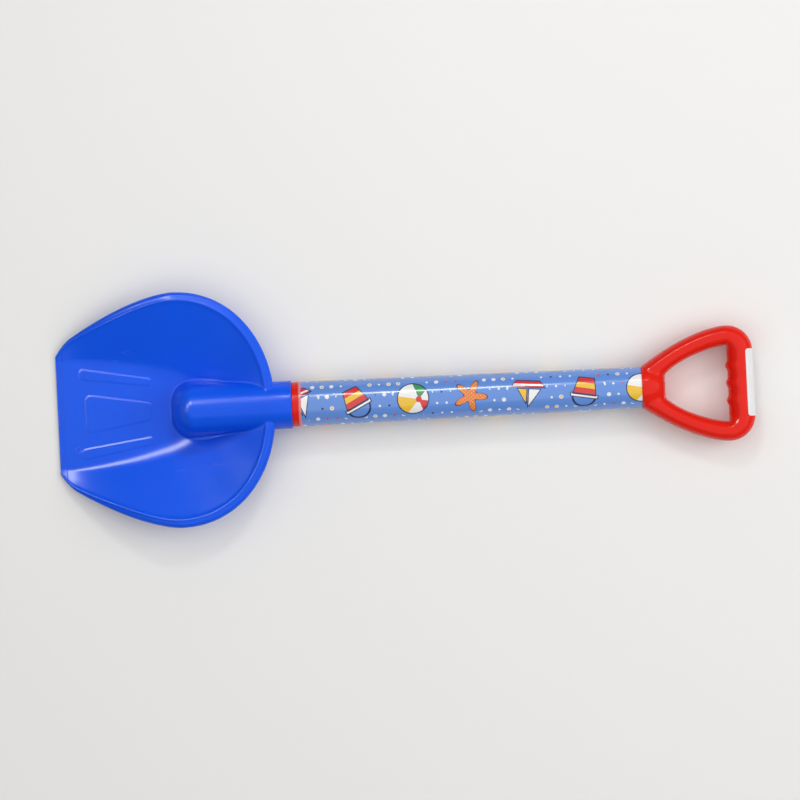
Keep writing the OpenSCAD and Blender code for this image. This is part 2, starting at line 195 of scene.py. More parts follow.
class GripSizes(bpy.types.PropertyGroup):
    """Sizes of the D-grip and its label."""

    grip_len: length("Grip length", 113, "Length of the grip beyond the tube")
    grip_w: length("Grip width", 116, "Greatest width of the grip")
    grip_depth: length("Grip depth", 29, "Depth of the arms and the crossbar")
    root_depth: length("Root depth", 33, "Depth of the arms where they leave the neck")
    bar_w: length("Crossbar width", 26, "Width of the crossbar")
    corner_r: length("Corner rounding", 26, "Rounding of the outer corners")
    hole_x: length("Opening place", 24, "Distance from the neck to the finger opening")
    hole_front_w: length("Opening front", 21.5, "Width of the opening's flat front")
    hole_rear_w: length("Opening rear", 76, "Width of the opening at the crossbar")
    seam_land: length("Seam land", 1, "Height of the flat land at the parting line")
    seam_gap: length("Seam depth", 0.35, "Depth of the groove at the parting line")
    neck_edge: length("Neck rounding", 1.2, "Rounding of the neck's edge at the film")
    ridge_pitch: length("Ridge pitch", 17.3, "Distance between finger ridges")
    ridge_h: length("Ridge height", 1.9, "Height of a finger ridge")
    ridge_w: length("Ridge length", 12, "Length of a finger ridge along the crossbar")
    label_wrap: length("Label reach", 8, "How far the label reaches in from the outer face")
    label_corner: length("Label corner", 3, "Corner radius of the label")
    label_lift: length("Label lift", 0.28, "Height of the label's face over the plastic")


class Finishes(bpy.types.PropertyGroup):
    """Colours of the pieces."""

    blade: tint("Blade", (0.002, 0.088, 0.78), "Blue plastic of the blade")
    red: tint("Red plastic", (0.76, 0.013, 0.005), "Red plastic of the tube and the grip")
    film: tint("Film ground", (0.115, 0.265, 0.69), "Ground colour of the printed film")
    paper: tint("Label", (0.78, 0.78, 0.785), "White of the bare label")
    floor: tint("Floor", (0.84, 0.835, 0.82), "Colour of the floor")


class StageSizes(bpy.types.PropertyGroup):
    """Camera and light."""

    camera_h: length("Camera height", 5000, "Height of the camera above the ground")
    camera_x: length("Camera place", -5.2, "Place of the camera along the shaft")
    camera_y: length("Camera offset", -0.8, "Place of the camera across the shaft")
    turn: bpy.props.FloatProperty(
        name="Camera turn",
        description="Turn of the camera about the plumb line",
        default=math.radians(-2.82),
        subtype="ANGLE",
    )
    lens: number("Lens", 223.3, "Focal length in millimetres on a 36 mm sensor")
    floor_w: length("Floor", 8000, "Side of the floor")
    strip_glow: number("Strip light", 11.5, "Radiance of the strip lights beside the shovel")
    top_glow: number("Top light", 0.85, "Radiance of the broad light overhead")
    side_glow: number("Side light", 3, "Radiance of the light beyond the grip")
    sky: number("Sky light", 0.25, "Strength of the even light from all round")


def ease(t):
    """Smooth step from 0 to 1: three times the square less twice the cube."""
    c = np.clip(t, 0, 1)
    return c * c * (3 - 2 * c)


def mix(a, b, t):
    """Straight way from a to b."""
    return a + (b - a) * t


def stack(*parts):
    """Arrays side by side along a last axis, with single numbers repeated: points from x, y and z."""
    return np.stack(np.broadcast_arrays(*parts), axis=-1)


def round_angles(steps):
    """Even angles once round, the first at zero."""
    return np.arange(steps) / steps * TURN


def quarter_round(t):
    """Height share of a quarter circle at a share of its width, and 1 beyond it."""
    return np.sqrt(1 - (1 - np.clip(t, 0, 1)) ** 2)


def halved(shape, test):
    """Shares from 0 to 1 at which a test turns from true to false, found by halving."""
    low = np.zeros(shape)
    high = np.ones(shape)
    for _ in range(HALVINGS):
        share = (low + high) / 2
        passed = test(share)
        low = np.where(passed, share, low)
        high = np.where(passed, high, share)
    return low, high


class Shells:
    """Grid surfaces gathered into one mesh."""

    def __init__(self):
        self.points = []
        self.quads = []
        self.maps = []
        self.count = 0

    def add(self, points, wrap_rows=False, wrap_cols=False, flip=False, uv=None):
        """Adds a grid of points, rows by columns by 3, with a quad between each four neighbours.
        A face points along row direction cross column direction, or against it where flip is set."""
        rows, cols = points.shape[:2]
        numbers = self.count + np.arange(rows * cols).reshape(rows, cols)
        if wrap_rows:
            numbers = np.vstack([numbers, numbers[:1]])
        if wrap_cols:
            numbers = np.hstack([numbers, numbers[:, :1]])
        ring = [numbers[:-1, :-1], numbers[1:, :-1], numbers[1:, 1:], numbers[:-1, 1:]]
        quads = np.stack(ring, axis=-1).reshape(-1, 4)
        self.quads.append(quads[:, ::-1] if flip else quads)
        self.points.append(points.reshape(-1, 3))
        self.maps.append(np.zeros((rows * cols, 2)) if uv is None else uv.reshape(-1, 2))
        self.count += rows * cols

    def make(self, name, material, slot, *nodes, sharp=35.0, merge=0.004 * MM, uv_name=None):
        """Makes the mesh object: neighbours closer than the merge length become one point, faces are
        smooth, edges over the sharp angle stay sharp, and the object rides on the body for its nodes."""
        quads = np.concatenate(self.quads)
        mesh = bpy.data.meshes.new(name)
        mesh.from_pydata(np.concatenate(self.points), [], quads.tolist())
        if uv_name:
            corners = np.concatenate(self.maps)[quads.ravel()]
            mesh.uv_layers.new(name=uv_name).data.foreach_set("uv", corners.ravel())
        shape = bmesh.new()
        shape.from_mesh(mesh)
        bmesh.ops.remove_doubles(shape, verts=shape.verts, dist=merge)
        bmesh.ops.dissolve_degenerate(shape, edges=shape.edges, dist=merge)
        shape.to_mesh(mesh)
        shape.free()
        mesh.shade_smooth()
        mesh.set_sharp_from_angle(angle=math.radians(sharp))
        mesh.materials.append(material)
        piece = bpy.data.objects.new(name, mesh)
        bpy.context.scene.collection.objects.link(piece)
        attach(piece, BODY)
        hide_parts(*nodes)
        return piece


def revolved(x, radius):
    """Profile of places x and radii carried round the shaft's axis. Run with flip where the profile goes
    towards the grip on the outside."""
    angle = round_angles(ROUND_STEPS)
    y = radius[:, None] * np.cos(angle)
    z = AXIS_Z + radius[:, None] * np.sin(angle)
    return stack(FRONT_X + x[:, None], y, z)


def arc(centre_x, centre_r, radius, start, end):
    """Places and radii along a circular arc in the profile plane, with angles from the shaft's direction."""
    angle = np.linspace(start, end, EDGE_STEPS)
    return centre_x + radius * np.cos(angle), centre_r + radius * np.sin(angle)


# Dish of the blade

FRONT_ROWS_SHARE = 0.56
FRONT_CROWD_SHARE = 1.5
SIDE_BEND_SHARE = 1.58
REAR_ROUND_SHARE = 2.12
RIM_BEND_SHARE = 1.3
FLOOR_BEND_SHARE = 1.35
FOLD_FOLLOW_SHARE = 0.83
FLOOR_END_SHARE = 0.995
RIM_END_SHARE = 0.42
FOLD_SHARE = 0.22
LIP_GROW_SHARE = 0.6
LIP_TURN_POWER = 5

# Rows and columns of the dish's grid
STEP_ROWS = 7
STRIP_ROWS = 7
EVEN_ROWS = 126
FLOOR_COLUMNS = 20
FOLD_COLUMNS = 16
WING_COLUMNS = 14
BEAD_COLUMNS = 21
LIP_COLUMNS = 8
CLOSE_WING_SHARE = 0.36
BEAD_REACH_SHARE = 2.6
EDGE_SHARES = np.array([0, 0.03, 0.1, 0.22, 0.4, 0.62, 0.82, 1])
BEYOND_SHARES = np.array([0.1, 0.25, 0.5, 0.75, 1])


def behind(q):
    """Share of the way from the widest place to the neck at row share q, and zero in front of it."""
    return np.clip((q - FRONT_ROWS_SHARE) / (1 - FRONT_ROWS_SHARE), 0, 1)


def rim(q, s):
    """Rim at row share q: a bent side from the rounded front corner to the widest place, then a quarter of
    a rounded oval to the neck."""
    x = s.widest_x * np.clip(q / FRONT_ROWS_SHARE, 0, 1) ** FRONT_CROWD_SHARE
    sharp = s.front_w / 2 + s.corner_in
    bend = 1 - (1 - x / s.widest_x) ** SIDE_BEND_SHARE
    y = sharp + (s.dish_w / 2 - sharp) * bend - s.corner_in * np.clip(1 - x / s.corner_len, 0, 1) ** 2
    end = math.asin((RIM_END_SHARE * 2 * s.socket_r / s.dish_w) ** (REAR_ROUND_SHARE / 2))
    angle = mix(QUARTER, end, behind(q))
    rear_x = s.widest_x + (s.dish_len - s.widest_x) * np.cos(angle) ** (2 / REAR_ROUND_SHARE)
    rear_y = s.dish_w / 2 * np.sin(angle) ** (2 / REAR_ROUND_SHARE)
    in_rear = q > FRONT_ROWS_SHARE
    return np.where(in_rear, rear_x, x), np.where(in_rear, rear_y, y)


def floor_edge(q, s):
    """Edge of the flat floor at row share q: a tongue whose half width falls with the root of one less a
    power of its place."""
    turn = FOLD_FOLLOW_SHARE * s.widest_x
    rear = mix(turn, FLOOR_END_SHARE * s.floor_len, np.sin(QUARTER * behind(q)))
    x = np.where(q > FRONT_ROWS_SHARE, rear, FOLD_FOLLOW_SHARE * rim(q, s)[0])
    fold = s.front_w / 2 * np.sqrt(1 - (x / s.floor_len) ** FLOOR_BEND_SHARE)
    return x, fold * fold / (fold + s.fold_lead)


def row(q, s):
    """Row q beyond the floor: start, direction, length to the rim, and the lip's width."""
    rim_x, rim_y = rim(q, s)
    start_x, start_y = floor_edge(q, s)
    reach = np.hypot(rim_x - start_x, rim_y - start_y)
    lip = mix(s.lip_front_w, s.lip_w, ease(rim_x / (LIP_GROW_SHARE * s.widest_x)))
    return start_x, start_y, (rim_x - start_x) / reach, (rim_y - start_y) / reach, reach, lip


def row_height(along, q, s):
    """Underside at a distance along row q: a parabola through the fold, a straight wing whose slope a
    rounded bend takes away again, a bead on that bend, and a lip that drops with a high power of its
    share."""
    _, _, _, _, reach, lip = row(q, s)
    wing = reach - lip
    share = 1 - np.clip(1 - rim(q, s)[0] / s.widest_x, 0, 1) ** RIM_BEND_SHARE
    rise = (s.rim_h - s.wall) * share / (1 - FOLD_SHARE / 2)
    t = along / wing
    ramp = np.where(t < FOLD_SHARE, t * t / (2 * FOLD_SHARE), t - FOLD_SHARE / 2)
    past = along - wing
    bend = np.clip(past + s.bead_r, 0, None)
    bend = np.where(bend < 2 * s.bead_r, bend * bend / (4 * s.bead_r), past)
    drop = s.lip_drop * share * np.clip(past / lip, 0, 1) ** LIP_TURN_POWER
    bead = s.bead_h * np.clip(t, 0, 1) * np.exp(-((past / s.bead_w) ** 2))
    return rise * ramp - rise / wing * bend - drop + bead


def dish_top(x, y, s):
    """Height of the dish's upper face over a place. The row that crosses the place is found by halving:
    the place lies to one side of every earlier row and to the other side of every later one."""
    y = np.abs(y)

    def is_earlier(q):
        start_x, start_y, to_x, to_y, _, _ = row(q, s)
        return to_x * (y - start_y) - to_y * (x - start_x) < 0

    low, high = halved(np.broadcast(x, y).shape, is_earlier)
    q = (low + high) / 2
    start_x, start_y, to_x, to_y, reach, _ = row(q, s)
    along = to_x * (x - start_x) + to_y * (y - start_y)
    return s.wall + row_height(np.clip(along, 0, reach), q, s)


def dish_rows(s):
    """Row shares: close together at the rounded front edge and at the step behind it, then even."""
    edge = EDGE_SHARES * s.wall / 2
    step = s.strip_w + s.step_w * np.linspace(0, 1, STEP_ROWS)
    strip = np.linspace(edge[-1], step[0], STRIP_ROWS)[1:-1]
    near = np.concatenate([edge, strip, step, step[-1] + s.strip_w * BEYOND_SHARES])
    near = FRONT_ROWS_SHARE * (near / FOLD_FOLLOW_SHARE / s.widest_x) ** (1 / FRONT_CROWD_SHARE)
    return np.concatenate([near, np.linspace(near[-1], 1, EVEN_ROWS)[1:]])[:, None]


def dish_shell(shells, s):
    """Upper and lower face of the dish on one grid of rows by crossing places, thinned to nothing round
    the outline so that they close in a rounded edge."""
    q = dish_rows(s)
    start_x, start_y, to_x, to_y, reach, lip = row(q, s)
    floor_shares = np.linspace(0, 1, FLOOR_COLUMNS)[None]
    close_wing = np.linspace(0, CLOSE_WING_SHARE, FOLD_COLUMNS)[1:]
    open_wing = np.linspace(CLOSE_WING_SHARE, 1, WING_COLUMNS)[1:-1]
    around = np.minimum(BEAD_REACH_SHARE * s.bead_w, lip / 2)
    outside = lip - around
    edge = np.minimum(s.wall / 2, outside / 2)
    along = np.hstack(
        [
            (reach - lip - around) * np.concatenate([close_wing, open_wing])[None],
            reach - lip + around * np.linspace(-1, 1, BEAD_COLUMNS)[None],
            reach - outside + (outside - edge) * np.linspace(0, 1, LIP_COLUMNS)[None, 1:],
            reach - edge * EDGE_SHARES[None, -2::-1],
        ]
    )
    x = np.hstack([start_x + 0 * floor_shares, start_x + to_x * along])
    y = np.hstack([start_y * floor_shares, start_y + to_y * along])
    under = np.hstack([0 * start_y * floor_shares, row_height(along, q, s)])
    from_lip = np.hstack([reach + 0 * floor_shares, reach - along])
    from_edge = np.minimum(np.minimum(from_lip, x), (1 - q) * s.floor_len)
    full = quarter_round(from_edge / (s.wall / 2))
    thick = s.wall - s.step_h * (1 - ease((start_x - s.strip_w) / s.step_w))
    for side, flip in ((1, False), (-1, True)):
        z = under + thick / 2 + side * full * thick / 2
        half = stack(FRONT_X + x, y, z)
        other = half[:, :0:-1] * MIRRORED
        shells.add(np.concatenate([other, half], axis=1), flip=flip)


# Hump over the socket

HUMP_DRAFT = math.radians(10.5)
HUMP_CORNER_X_SHARE = 0.74
HUMP_CORNER_Y_SHARE = 0.8
HUMP_STRAIGHT_X = 150 * MM
NOSE_ROUND_POWER = 4
FILLET_TOP_SHARE = 0.98
FLANGE_W = 3 * MM
FLANGE_SINK = 0.05 * MM
HIDDEN_DEPTH = 1 * MM
MOUTH_ROUND_SHARE = 0.8

# Steps along the hump's outline, up its sides and along the socket
SIDE_STEPS = 56
CORNER_STEPS = 36
FRONT_STEPS = 14
CROWN_STEPS = 30
FILLET_STEPS = 12
SOCKET_STEPS = 11


def hump_fade(x, s):
    """How much of the hump is left at a place: all up to where it runs straight, none at its end."""
    return 1 - ease((x - HUMP_STRAIGHT_X) / (s.hump_end - HUMP_STRAIGHT_X))


def hump_half_width(x, z, s):
    """Half width of the hump: a circle above, and below its tangent point a drafted side. The draft runs
    out towards the neck."""
    fade = hump_fade(x, s)
    radius = s.socket_r + s.hump_over * fade
    draft = HUMP_DRAFT * fade
    touch = AXIS_Z + radius * np.sin(draft)
    circle = np.sqrt(np.clip(radius**2 - (z - AXIS_Z) ** 2, 0, None))
    return np.where(z > touch, circle, radius * np.cos(draft) + (touch - z) * np.tan(draft))


def hump_point(h, side, turn, front, s):
    """Point of the hump at height share h. Its outline runs along the side, round an elliptic corner by
    the angle turn, and along the front to the middle. The nose leans back and rounds over at the top."""
    fade = hump_fade(mix(s.hump_end, s.nose_x, side), s)
    z = mix(s.wall, AXIS_Z + s.socket_r + s.hump_over * fade, h)
    rounding = 1 - np.sqrt(np.clip(1 - h**NOSE_ROUND_POWER, 0, None))
    nose = s.nose_x + s.nose_lean * h + s.nose_r * rounding
    corner_x = HUMP_CORNER_X_SHARE * hump_half_width(s.nose_x, z, s)
    x = mix(s.hump_end, nose + corner_x, side) - corner_x * np.sin(turn)
    half_w = hump_half_width(x, z, s)
    corner_y = HUMP_CORNER_Y_SHARE * half_w
    y = (half_w - corner_y) * (1 - front) + corner_y * np.cos(turn)
    return x, y, z


def hump_outline():
    """Places from the neck to the middle of the nose: the share along the side, the angle round the
    corner, and the share along the front."""
    sides = np.concatenate([np.linspace(0, 1, SIDE_STEPS), np.ones(CORNER_STEPS + FRONT_STEPS)])
    corner = np.linspace(0, QUARTER, CORNER_STEPS + 1)[1:]
    turns = np.concatenate([np.zeros(SIDE_STEPS), corner, np.full(FRONT_STEPS, QUARTER)])
    front = np.linspace(0, 1, FRONT_STEPS + 1)[1:]
    fronts = np.concatenate([np.zeros(SIDE_STEPS + CORNER_STEPS), front])
    return sides[None], turns[None], fronts[None]


def hump_shell(shells, s):
    """Hump from its crest down to the dish, with a fillet that is a quadratic curve between a point up the
    side and a point out on the dish, and a flange that sinks just under the dish's face. The foot, where
    the side meets the dish, is found by halving."""
    outline = hump_outline()

    def is_under(h):
        x, y, z = hump_point(h, *outline, s)
        return z <= dish_top(x, y, s)

    low, _ = halved(outline[0].shape, is_under)
    foot = stack(*hump_point(low, *outline, s))
    out_x = -np.sin(outline[1]) / HUMP_CORNER_X_SHARE
    out_y = np.cos(outline[1]) / HUMP_CORNER_Y_SHARE
    out = stack(out_x, out_y) / np.hypot(out_x, out_y)[..., None]

    def on_dish(distance, sink):
        x, y = np.moveaxis(foot[..., :2] + out * distance, -1, 0)
        return stack(x, y, dish_top(x, y, s) - sink)

    top_h = AXIS_Z + s.socket_r - s.wall
    upper_h = np.minimum(low + s.fillet / top_h, FILLET_TOP_SHARE)
    rise = np.sin(np.linspace(1, 0, CROWN_STEPS) * QUARTER)[:, None]
    crown = stack(*hump_point(mix(upper_h, 1, rise), *outline, s))
    outer = on_dish(s.fillet, 0)
    t = np.linspace(0, 1, FILLET_STEPS + 1)[1:, None, None]
    fillet = (1 - t) ** 2 * crown[-1:] + 2 * t * (1 - t) * foot + t * t * outer
    flange = on_dish(s.fillet + FLANGE_W, FLANGE_SINK)
    hidden = on_dish(s.fillet + FLANGE_W, HIDDEN_DEPTH)
    half = np.concatenate([crown, fillet, flange, hidden, hidden * ON_MIDDLE])
    half = np.concatenate([half[:, :1] * ON_MIDDLE, half], axis=1)
    other = half[:, -2::-1] * MIRRORED
    shells.add(np.concatenate([half, other], axis=1) + FROM_FRONT)


def socket_shell(shells, s):
    """Socket and neck: a slightly drafted tube with rounded edges at the mouth and a short stretch of bore,
    revolved about the shaft."""
    inside_x = s.nose_x + s.nose_lean + s.nose_r
    deep_x = MOUTH_X - s.bore_shown
    mouth_r = s.socket_r - s.neck_draft
    round_r = (mouth_r - s.bore_r) / 2 * MOUTH_ROUND_SHARE
    straight = np.linspace(inside_x, s.hump_end, SOCKET_STEPS + 1)
    outer_x, outer_r = arc(MOUTH_X - round_r, mouth_r - round_r, round_r, QUARTER, 0)
    inner_x, inner_r = arc(MOUTH_X - round_r, s.bore_r + round_r, round_r, 0, -QUARTER)
    x = np.concatenate([[inside_x], straight, outer_x, inner_x, [deep_x, deep_x]])
    radius = np.concatenate([[0], np.full_like(straight, s.socket_r), outer_r, inner_r, [s.bore_r, 0]])
    shells.add(revolved(x, radius), wrap_cols=True, flip=True)


# Raised panels and the gate mark on the floor

PANEL_RINGS = 11
PANEL_CORNER_STEPS = 14
GATE_RINGS = 13
GATE_STEPS = 48
GATE_RING_SHARE = 1 / 3
TOP_SHARES = np.array([0.5, 1])


def rounded_outline(corners, radius):
    """Closed outline whose corners are arcs of one radius, with its outward normals. Corners run
    anticlockwise."""
    points = []
    normals = []
    for index, here in enumerate(corners):
        back = corners[index - 1] - here
        ahead = corners[(index + 1) % len(corners)] - here
        back = back / np.linalg.norm(back)
        ahead = ahead / np.linalg.norm(ahead)
        half = math.acos(back @ ahead) / 2
        middle = (back + ahead) / np.linalg.norm(back + ahead)
        centre = here + middle * radius / math.sin(half)
        spread = QUARTER - half
        angle = math.atan2(-middle[1], -middle[0]) + np.linspace(-spread, spread, PANEL_CORNER_STEPS)
        normals.append(stack(np.cos(angle), np.sin(angle)))
        points.append(centre + radius * normals[-1])
    return np.concatenate(points), np.concatenate(normals)


def raised_shell(shells, outline, normals, offsets, heights, floor_z):
    """Low closed form on the floor: rings at offsets from an outline and heights over the floor, closed at
    the middle above and, inside the wall, below."""
    centre = outline.mean(axis=0)
    rings = outline[None] + offsets[:, None, None] * normals[None]
    z = floor_z + np.broadcast_to(heights[:, None], rings.shape[:2])
    body = stack(rings[..., 0], rings[..., 1], z)
    middle = np.broadcast_to(np.array([*centre, 0]), body[:1].shape)
    top = mix(body[-1:], middle + np.array([0, 0, z[-1, 0]]), TOP_SHARES[:, None, None])
    buried = body[:1] - np.array([0, 0, HIDDEN_DEPTH])
    under = middle + np.array([0, 0, z[0, 0] - HIDDEN_DEPTH])
    shape = np.concatenate([under, buried, body, top])
    shells.add(shape + FROM_FRONT, wrap_cols=True, flip=True)


def panel_shells(shells, s, blade):
    """Three tapered panels with softly sloping edges, and the small ring round the moulding gate."""
    floor_z = blade.wall - FLANGE_SINK
    rear_x = s.panel_x + s.panel_len
    share = np.linspace(0, 1, PANEL_RINGS)
    offsets = mix(s.slope_w / 2, -s.slope_w / 2, share)
    heights = (s.panel_h + FLANGE_SINK) * ease(share)

    def panel(front_x, front_y, rear_y, front_w, rear_w, corner_r):
        corners = np.array(
            [
                [front_x, front_y - front_w / 2],
                [rear_x, rear_y - rear_w / 2],
                [rear_x, rear_y + rear_w / 2],
                [front_x, front_y + front_w / 2],
            ]
        )
        raised_shell(shells, *rounded_outline(corners, corner_r), offsets, heights, floor_z)

    panel(s.panel_x + s.mid_inset, 0, 0, s.mid_front_w, s.mid_rear_w, s.mid_r)
    for side in (-1, 1):
        front_y = side * s.side_front_y
        panel(s.panel_x, front_y, side * s.side_rear_y, s.side_front_w, s.side_rear_w, s.side_r)
    angle = round_angles(GATE_STEPS)
    ring = stack(np.cos(angle), np.sin(angle))
    gate = np.array([s.gate_x, s.gate_y]) + s.gate_r * ring
    share = np.linspace(-1, 1, GATE_RINGS)
    bump = s.gate_h * np.cos(share * QUARTER) ** 2
    raised_shell(shells, gate, ring, -share * s.gate_r * GATE_RING_SHARE, bump, floor_z)


# Tube and film

TAPER_STEPS = 24
PLUG_GAP_SHARE = 0.25
FILM_STEPS = 150
FILM_ROUND_STEPS = 192
FILM_GAP_SHARE = 0.1
FILM_BODY_SHARE = 0.003
FILM_EDGE_SHARES = np.array([0, 0.0004, 0.0012])
RIPPLES_ROUND = 4

# Waves of the film's blade end: share of the wandering, count round the film, and phase
FILM_WAVES = ((1, 2, 1), (0.6, 5, 0), (0.4, 9, 2))

# Cells of the film's print along it and round it
PRINT_COLUMNS = 6
PRINT_ROWS = 3


def tube_radius(x, s):
    """Radius of the tube at a place along the shaft: a straight taper from the blade to the grip."""
    return mix(s.blade_r, s.grip_r, (x - MOUTH_X) / (GRIP_X - MOUTH_X))


def tube_shell(shells, s, bore_r):
    """Tube with a plug in the socket, a rounded shoulder on the socket's mouth and a straight taper,
    revolved about the shaft."""
    plug_r = bore_r - PLUG_GAP_SHARE * s.edge_r
    start = MOUTH_X - s.plug_len
    shoulder_x, shoulder_r = arc(MOUTH_X + s.edge_r, s.blade_r - s.edge_r, s.edge_r, math.pi, QUARTER)
    taper = np.linspace(MOUTH_X + 2 * s.edge_r, GRIP_X, TAPER_STEPS)
    x = np.concatenate([[start, start, MOUTH_X], shoulder_x, taper, [GRIP_X]])
    radius = np.concatenate([[0, plug_r, plug_r], shoulder_r, tube_radius(taper, s), [0]])
    shells.add(revolved(x, radius), wrap_cols=True, flip=True)


def film_shell(shells, s):
    """Film round the tube: an outer and an inner face on one grid of places by angles. Its blade end
    wanders with three sines of the angle, where it also ripples, and its edges thin to nothing. The print's
    map runs along the film and round it, starting underneath."""
    even = np.linspace(FILM_BODY_SHARE, 1 - FILM_BODY_SHARE, FILM_STEPS)
    share = np.concatenate([FILM_EDGE_SHARES, even, 1 - FILM_EDGE_SHARES[::-1]])[:, None]
    turn = np.linspace(0, 1, FILM_ROUND_STEPS + 1)[None]
    angle = turn * TURN - QUARTER
    wave = sum(size * np.sin(count * angle + phase) for size, count, phase in FILM_WAVES)
    wave = wave / sum(size for size, _, _ in FILM_WAVES)
    start = FILM_X + s.film_wave / 2 * (1 + wave)
    x = mix(start, GRIP_X, share)
    ripple = np.abs(np.sin(RIPPLES_ROUND * angle + x / s.ripple_twist))
    ripple = s.film_ripple * ripple * np.exp(-(x - start) / s.ripple_fade)
    full = 1 - ease(1 - np.minimum(share, 1 - share) / FILM_EDGE_SHARES[-1])
    base = tube_radius(x, s) + FILM_GAP_SHARE * s.film_wall
    uv = stack(share * PRINT_COLUMNS, turn * PRINT_ROWS)
    for lift, flip in (((s.film_wall + ripple) * full, True), (0 * full, False)):
        radius = base + lift
        points = stack(FRONT_X + x, radius * np.cos(angle), AXIS_Z + radius * np.sin(angle))
        shells.add(points, flip=flip, uv=uv)


# D-grip

ROLL_POWER_SHARE = 2.3
DOME_POWER_SHARE = 3.2
BLEND_POWER_SHARE = 2.5
OUTER_BEND_SHARE = 1.65
INNER_BEND_SHARE = 1.5
INNER_START_SHARE = 0.77
NECK_RISE_SHARE = 0.75
BAR_CREST_SHARE = 0.44
BAR_SLOPE_SHARE = 1.5
SEAM_FLOOR_SHARE = 0.05

# Stations along the grip's stretches, and points across a section
NECK_STATIONS = 29
ARM_STATIONS = 64
CORNER_STATIONS = 24
BAR_STATIONS = 72
SECTION_POINTS = 53
STATION_MIRRORED = np.array([1, -1, 1, -1, 1, 1, 1])

# Grid of the label
LABEL_SECTION_POINTS = 80
LABEL_ROWS = 60
LABEL_COLUMNS = 40
LABEL_BODY_SHARE = 0.99
LABEL_END_SHARES = np.array([1, 0.9985, 0.996])
LABEL_CORNER_SHARES = np.array([0, 0.02, 0.05, 0.12, 0.22, 0.36, 0.54, 0.75, 1])
LABEL_EDGE_SHARE = 0.5
LABEL_BACK_SHARE = 0.1


def grip_stations(s, neck_r):
    """Stations round half the finger opening, from the neck's middle to the crossbar's middle: inner point
    on the opening, outer point on the outline, height of the roll, height of the dome over the neck, and how
    far the inner side has the crossbar's soft slope."""
    corner_x = s.grip_len - s.corner_r
    corner_y = s.grip_w / 2 - s.corner_r
    hole_end = s.grip_len - s.bar_w
    half_front = s.hole_front_w / 2
    half_rear = s.hole_rear_w / 2
    t = np.linspace(0, 1, NECK_STATIONS)
    a = QUARTER * t
    roll = s.root_depth / 2 * np.sin(a) ** NECK_RISE_SHARE
    neck = stack(s.hole_x, half_front * t, 0, neck_r * np.sin(a), roll, neck_r * np.cos(a), 0)
    t = np.linspace(0, 1, ARM_STATIONS + 1)[1:]
    inner_y = mix(half_front, half_rear, (1 - (1 - t) ** INNER_BEND_SHARE) ** INNER_START_SHARE)
    outer_y = mix(neck_r, s.grip_w / 2, 1 - (1 - t) ** OUTER_BEND_SHARE)
    roll = mix(s.grip_depth, s.root_depth, (1 - t) ** 2) / 2
    arm = stack(mix(s.hole_x, hole_end, t), inner_y, corner_x * t, outer_y, roll, 0, 0)
    t = np.linspace(0, 1, CORNER_STATIONS + 1)[1:]
    a = QUARTER * t
    outer_x = corner_x + s.corner_r * np.sin(a)
    outer_y = corner_y + s.corner_r * np.cos(a)
    inner_y = mix(half_rear, corner_y, t)
    corner = stack(hole_end, inner_y, outer_x, outer_y, s.grip_depth / 2, 0, ease(t))
    y = corner_y * np.linspace(1, 0, BAR_STATIONS + 1)[1:]
    off = np.abs(y - s.ridge_pitch * np.round(np.minimum(1, y / s.ridge_pitch))) / s.ridge_w
    ridge = np.where(off < 1 / 2, s.ridge_h * np.cos(math.pi * off) ** 2, 0)
    bar = stack(hole_end - ridge, y, s.grip_len, y, s.grip_depth / 2, 0, 1)
    return np.concatenate([neck, arm, corner, bar])


def super_arc(t, power):
    """Height of a rounded arch over t from -1 to 1: the power's root of one less the power of t."""
    return np.clip(1 - np.abs(t) ** power, 0, None) ** (1 / power)


def shell_height(share, roll, dome, slope):
    """Height over a section at a share from the opening to the outline: a roll and the dome over the neck,
    blended as powers. The crossbar's slope moves the roll's crest inwards and flattens its inner side."""
    crest = mix(1 / 2, BAR_CREST_SHARE, slope)
    inside = super_arc(1 - share / crest, mix(ROLL_POWER_SHARE, BAR_SLOPE_SHARE, slope))
    outside = super_arc((share - crest) / (1 - crest), ROLL_POWER_SHARE)
    a = roll * np.where(share < crest, inside, outside)
    b = dome * super_arc(1 - share, DOME_POWER_SHARE)
    return (a**BLEND_POWER_SHARE + b**BLEND_POWER_SHARE) ** (1 / BLEND_POWER_SHARE)


def grip_shell(shells, s, neck_r, side):
    """Half of the grip on one side of the parting plane: sections between the opening and the outline at
    stations that run once round. The seam's edge is drawn in by the groove's depth, and the neck's edge is
    rounded by shrinking it towards the shaft's axis."""
    half = grip_stations(s, neck_r)
    other = half[-2:0:-1] * STATION_MIRRORED
    inner_x, inner_y, outer_x, outer_y, roll, dome, slope = np.concatenate([half, other]).T[..., None]
    share = (1 - np.cos(np.linspace(0, math.pi, SECTION_POINTS)))[None] / 2
    x = mix(inner_x, outer_x, share)
    y = mix(inner_y, outer_y, share)
    z = s.seam_land + shell_height(share, np.clip(roll - s.seam_land, 0, None), dome, slope)
    groove = s.seam_gap / np.hypot(outer_x - inner_x, outer_y - inner_y)
    ends = np.concatenate([0 * groove + 1, 1 - groove, groove, 0 * groove], axis=1)
    low = s.seam_gap * np.array([[1, SEAM_FLOOR_SHARE, SEAM_FLOOR_SHARE, 1]])
    x = np.hstack([x, mix(inner_x, outer_x, ends)])
    y = np.hstack([y, mix(inner_y, outer_y, ends)])
    z = np.hstack([z, low + 0 * ends])
    inward = s.neck_edge * (1 - quarter_round(x / s.neck_edge))
    shrink = 1 - inward / np.maximum(np.hypot(y, z), neck_r / 2)
    points = stack(FRONT_X + GRIP_X + x, y * shrink, AXIS_Z + side * z * shrink)
    shells.add(points, wrap_rows=True, wrap_cols=True, flip=side < 0)


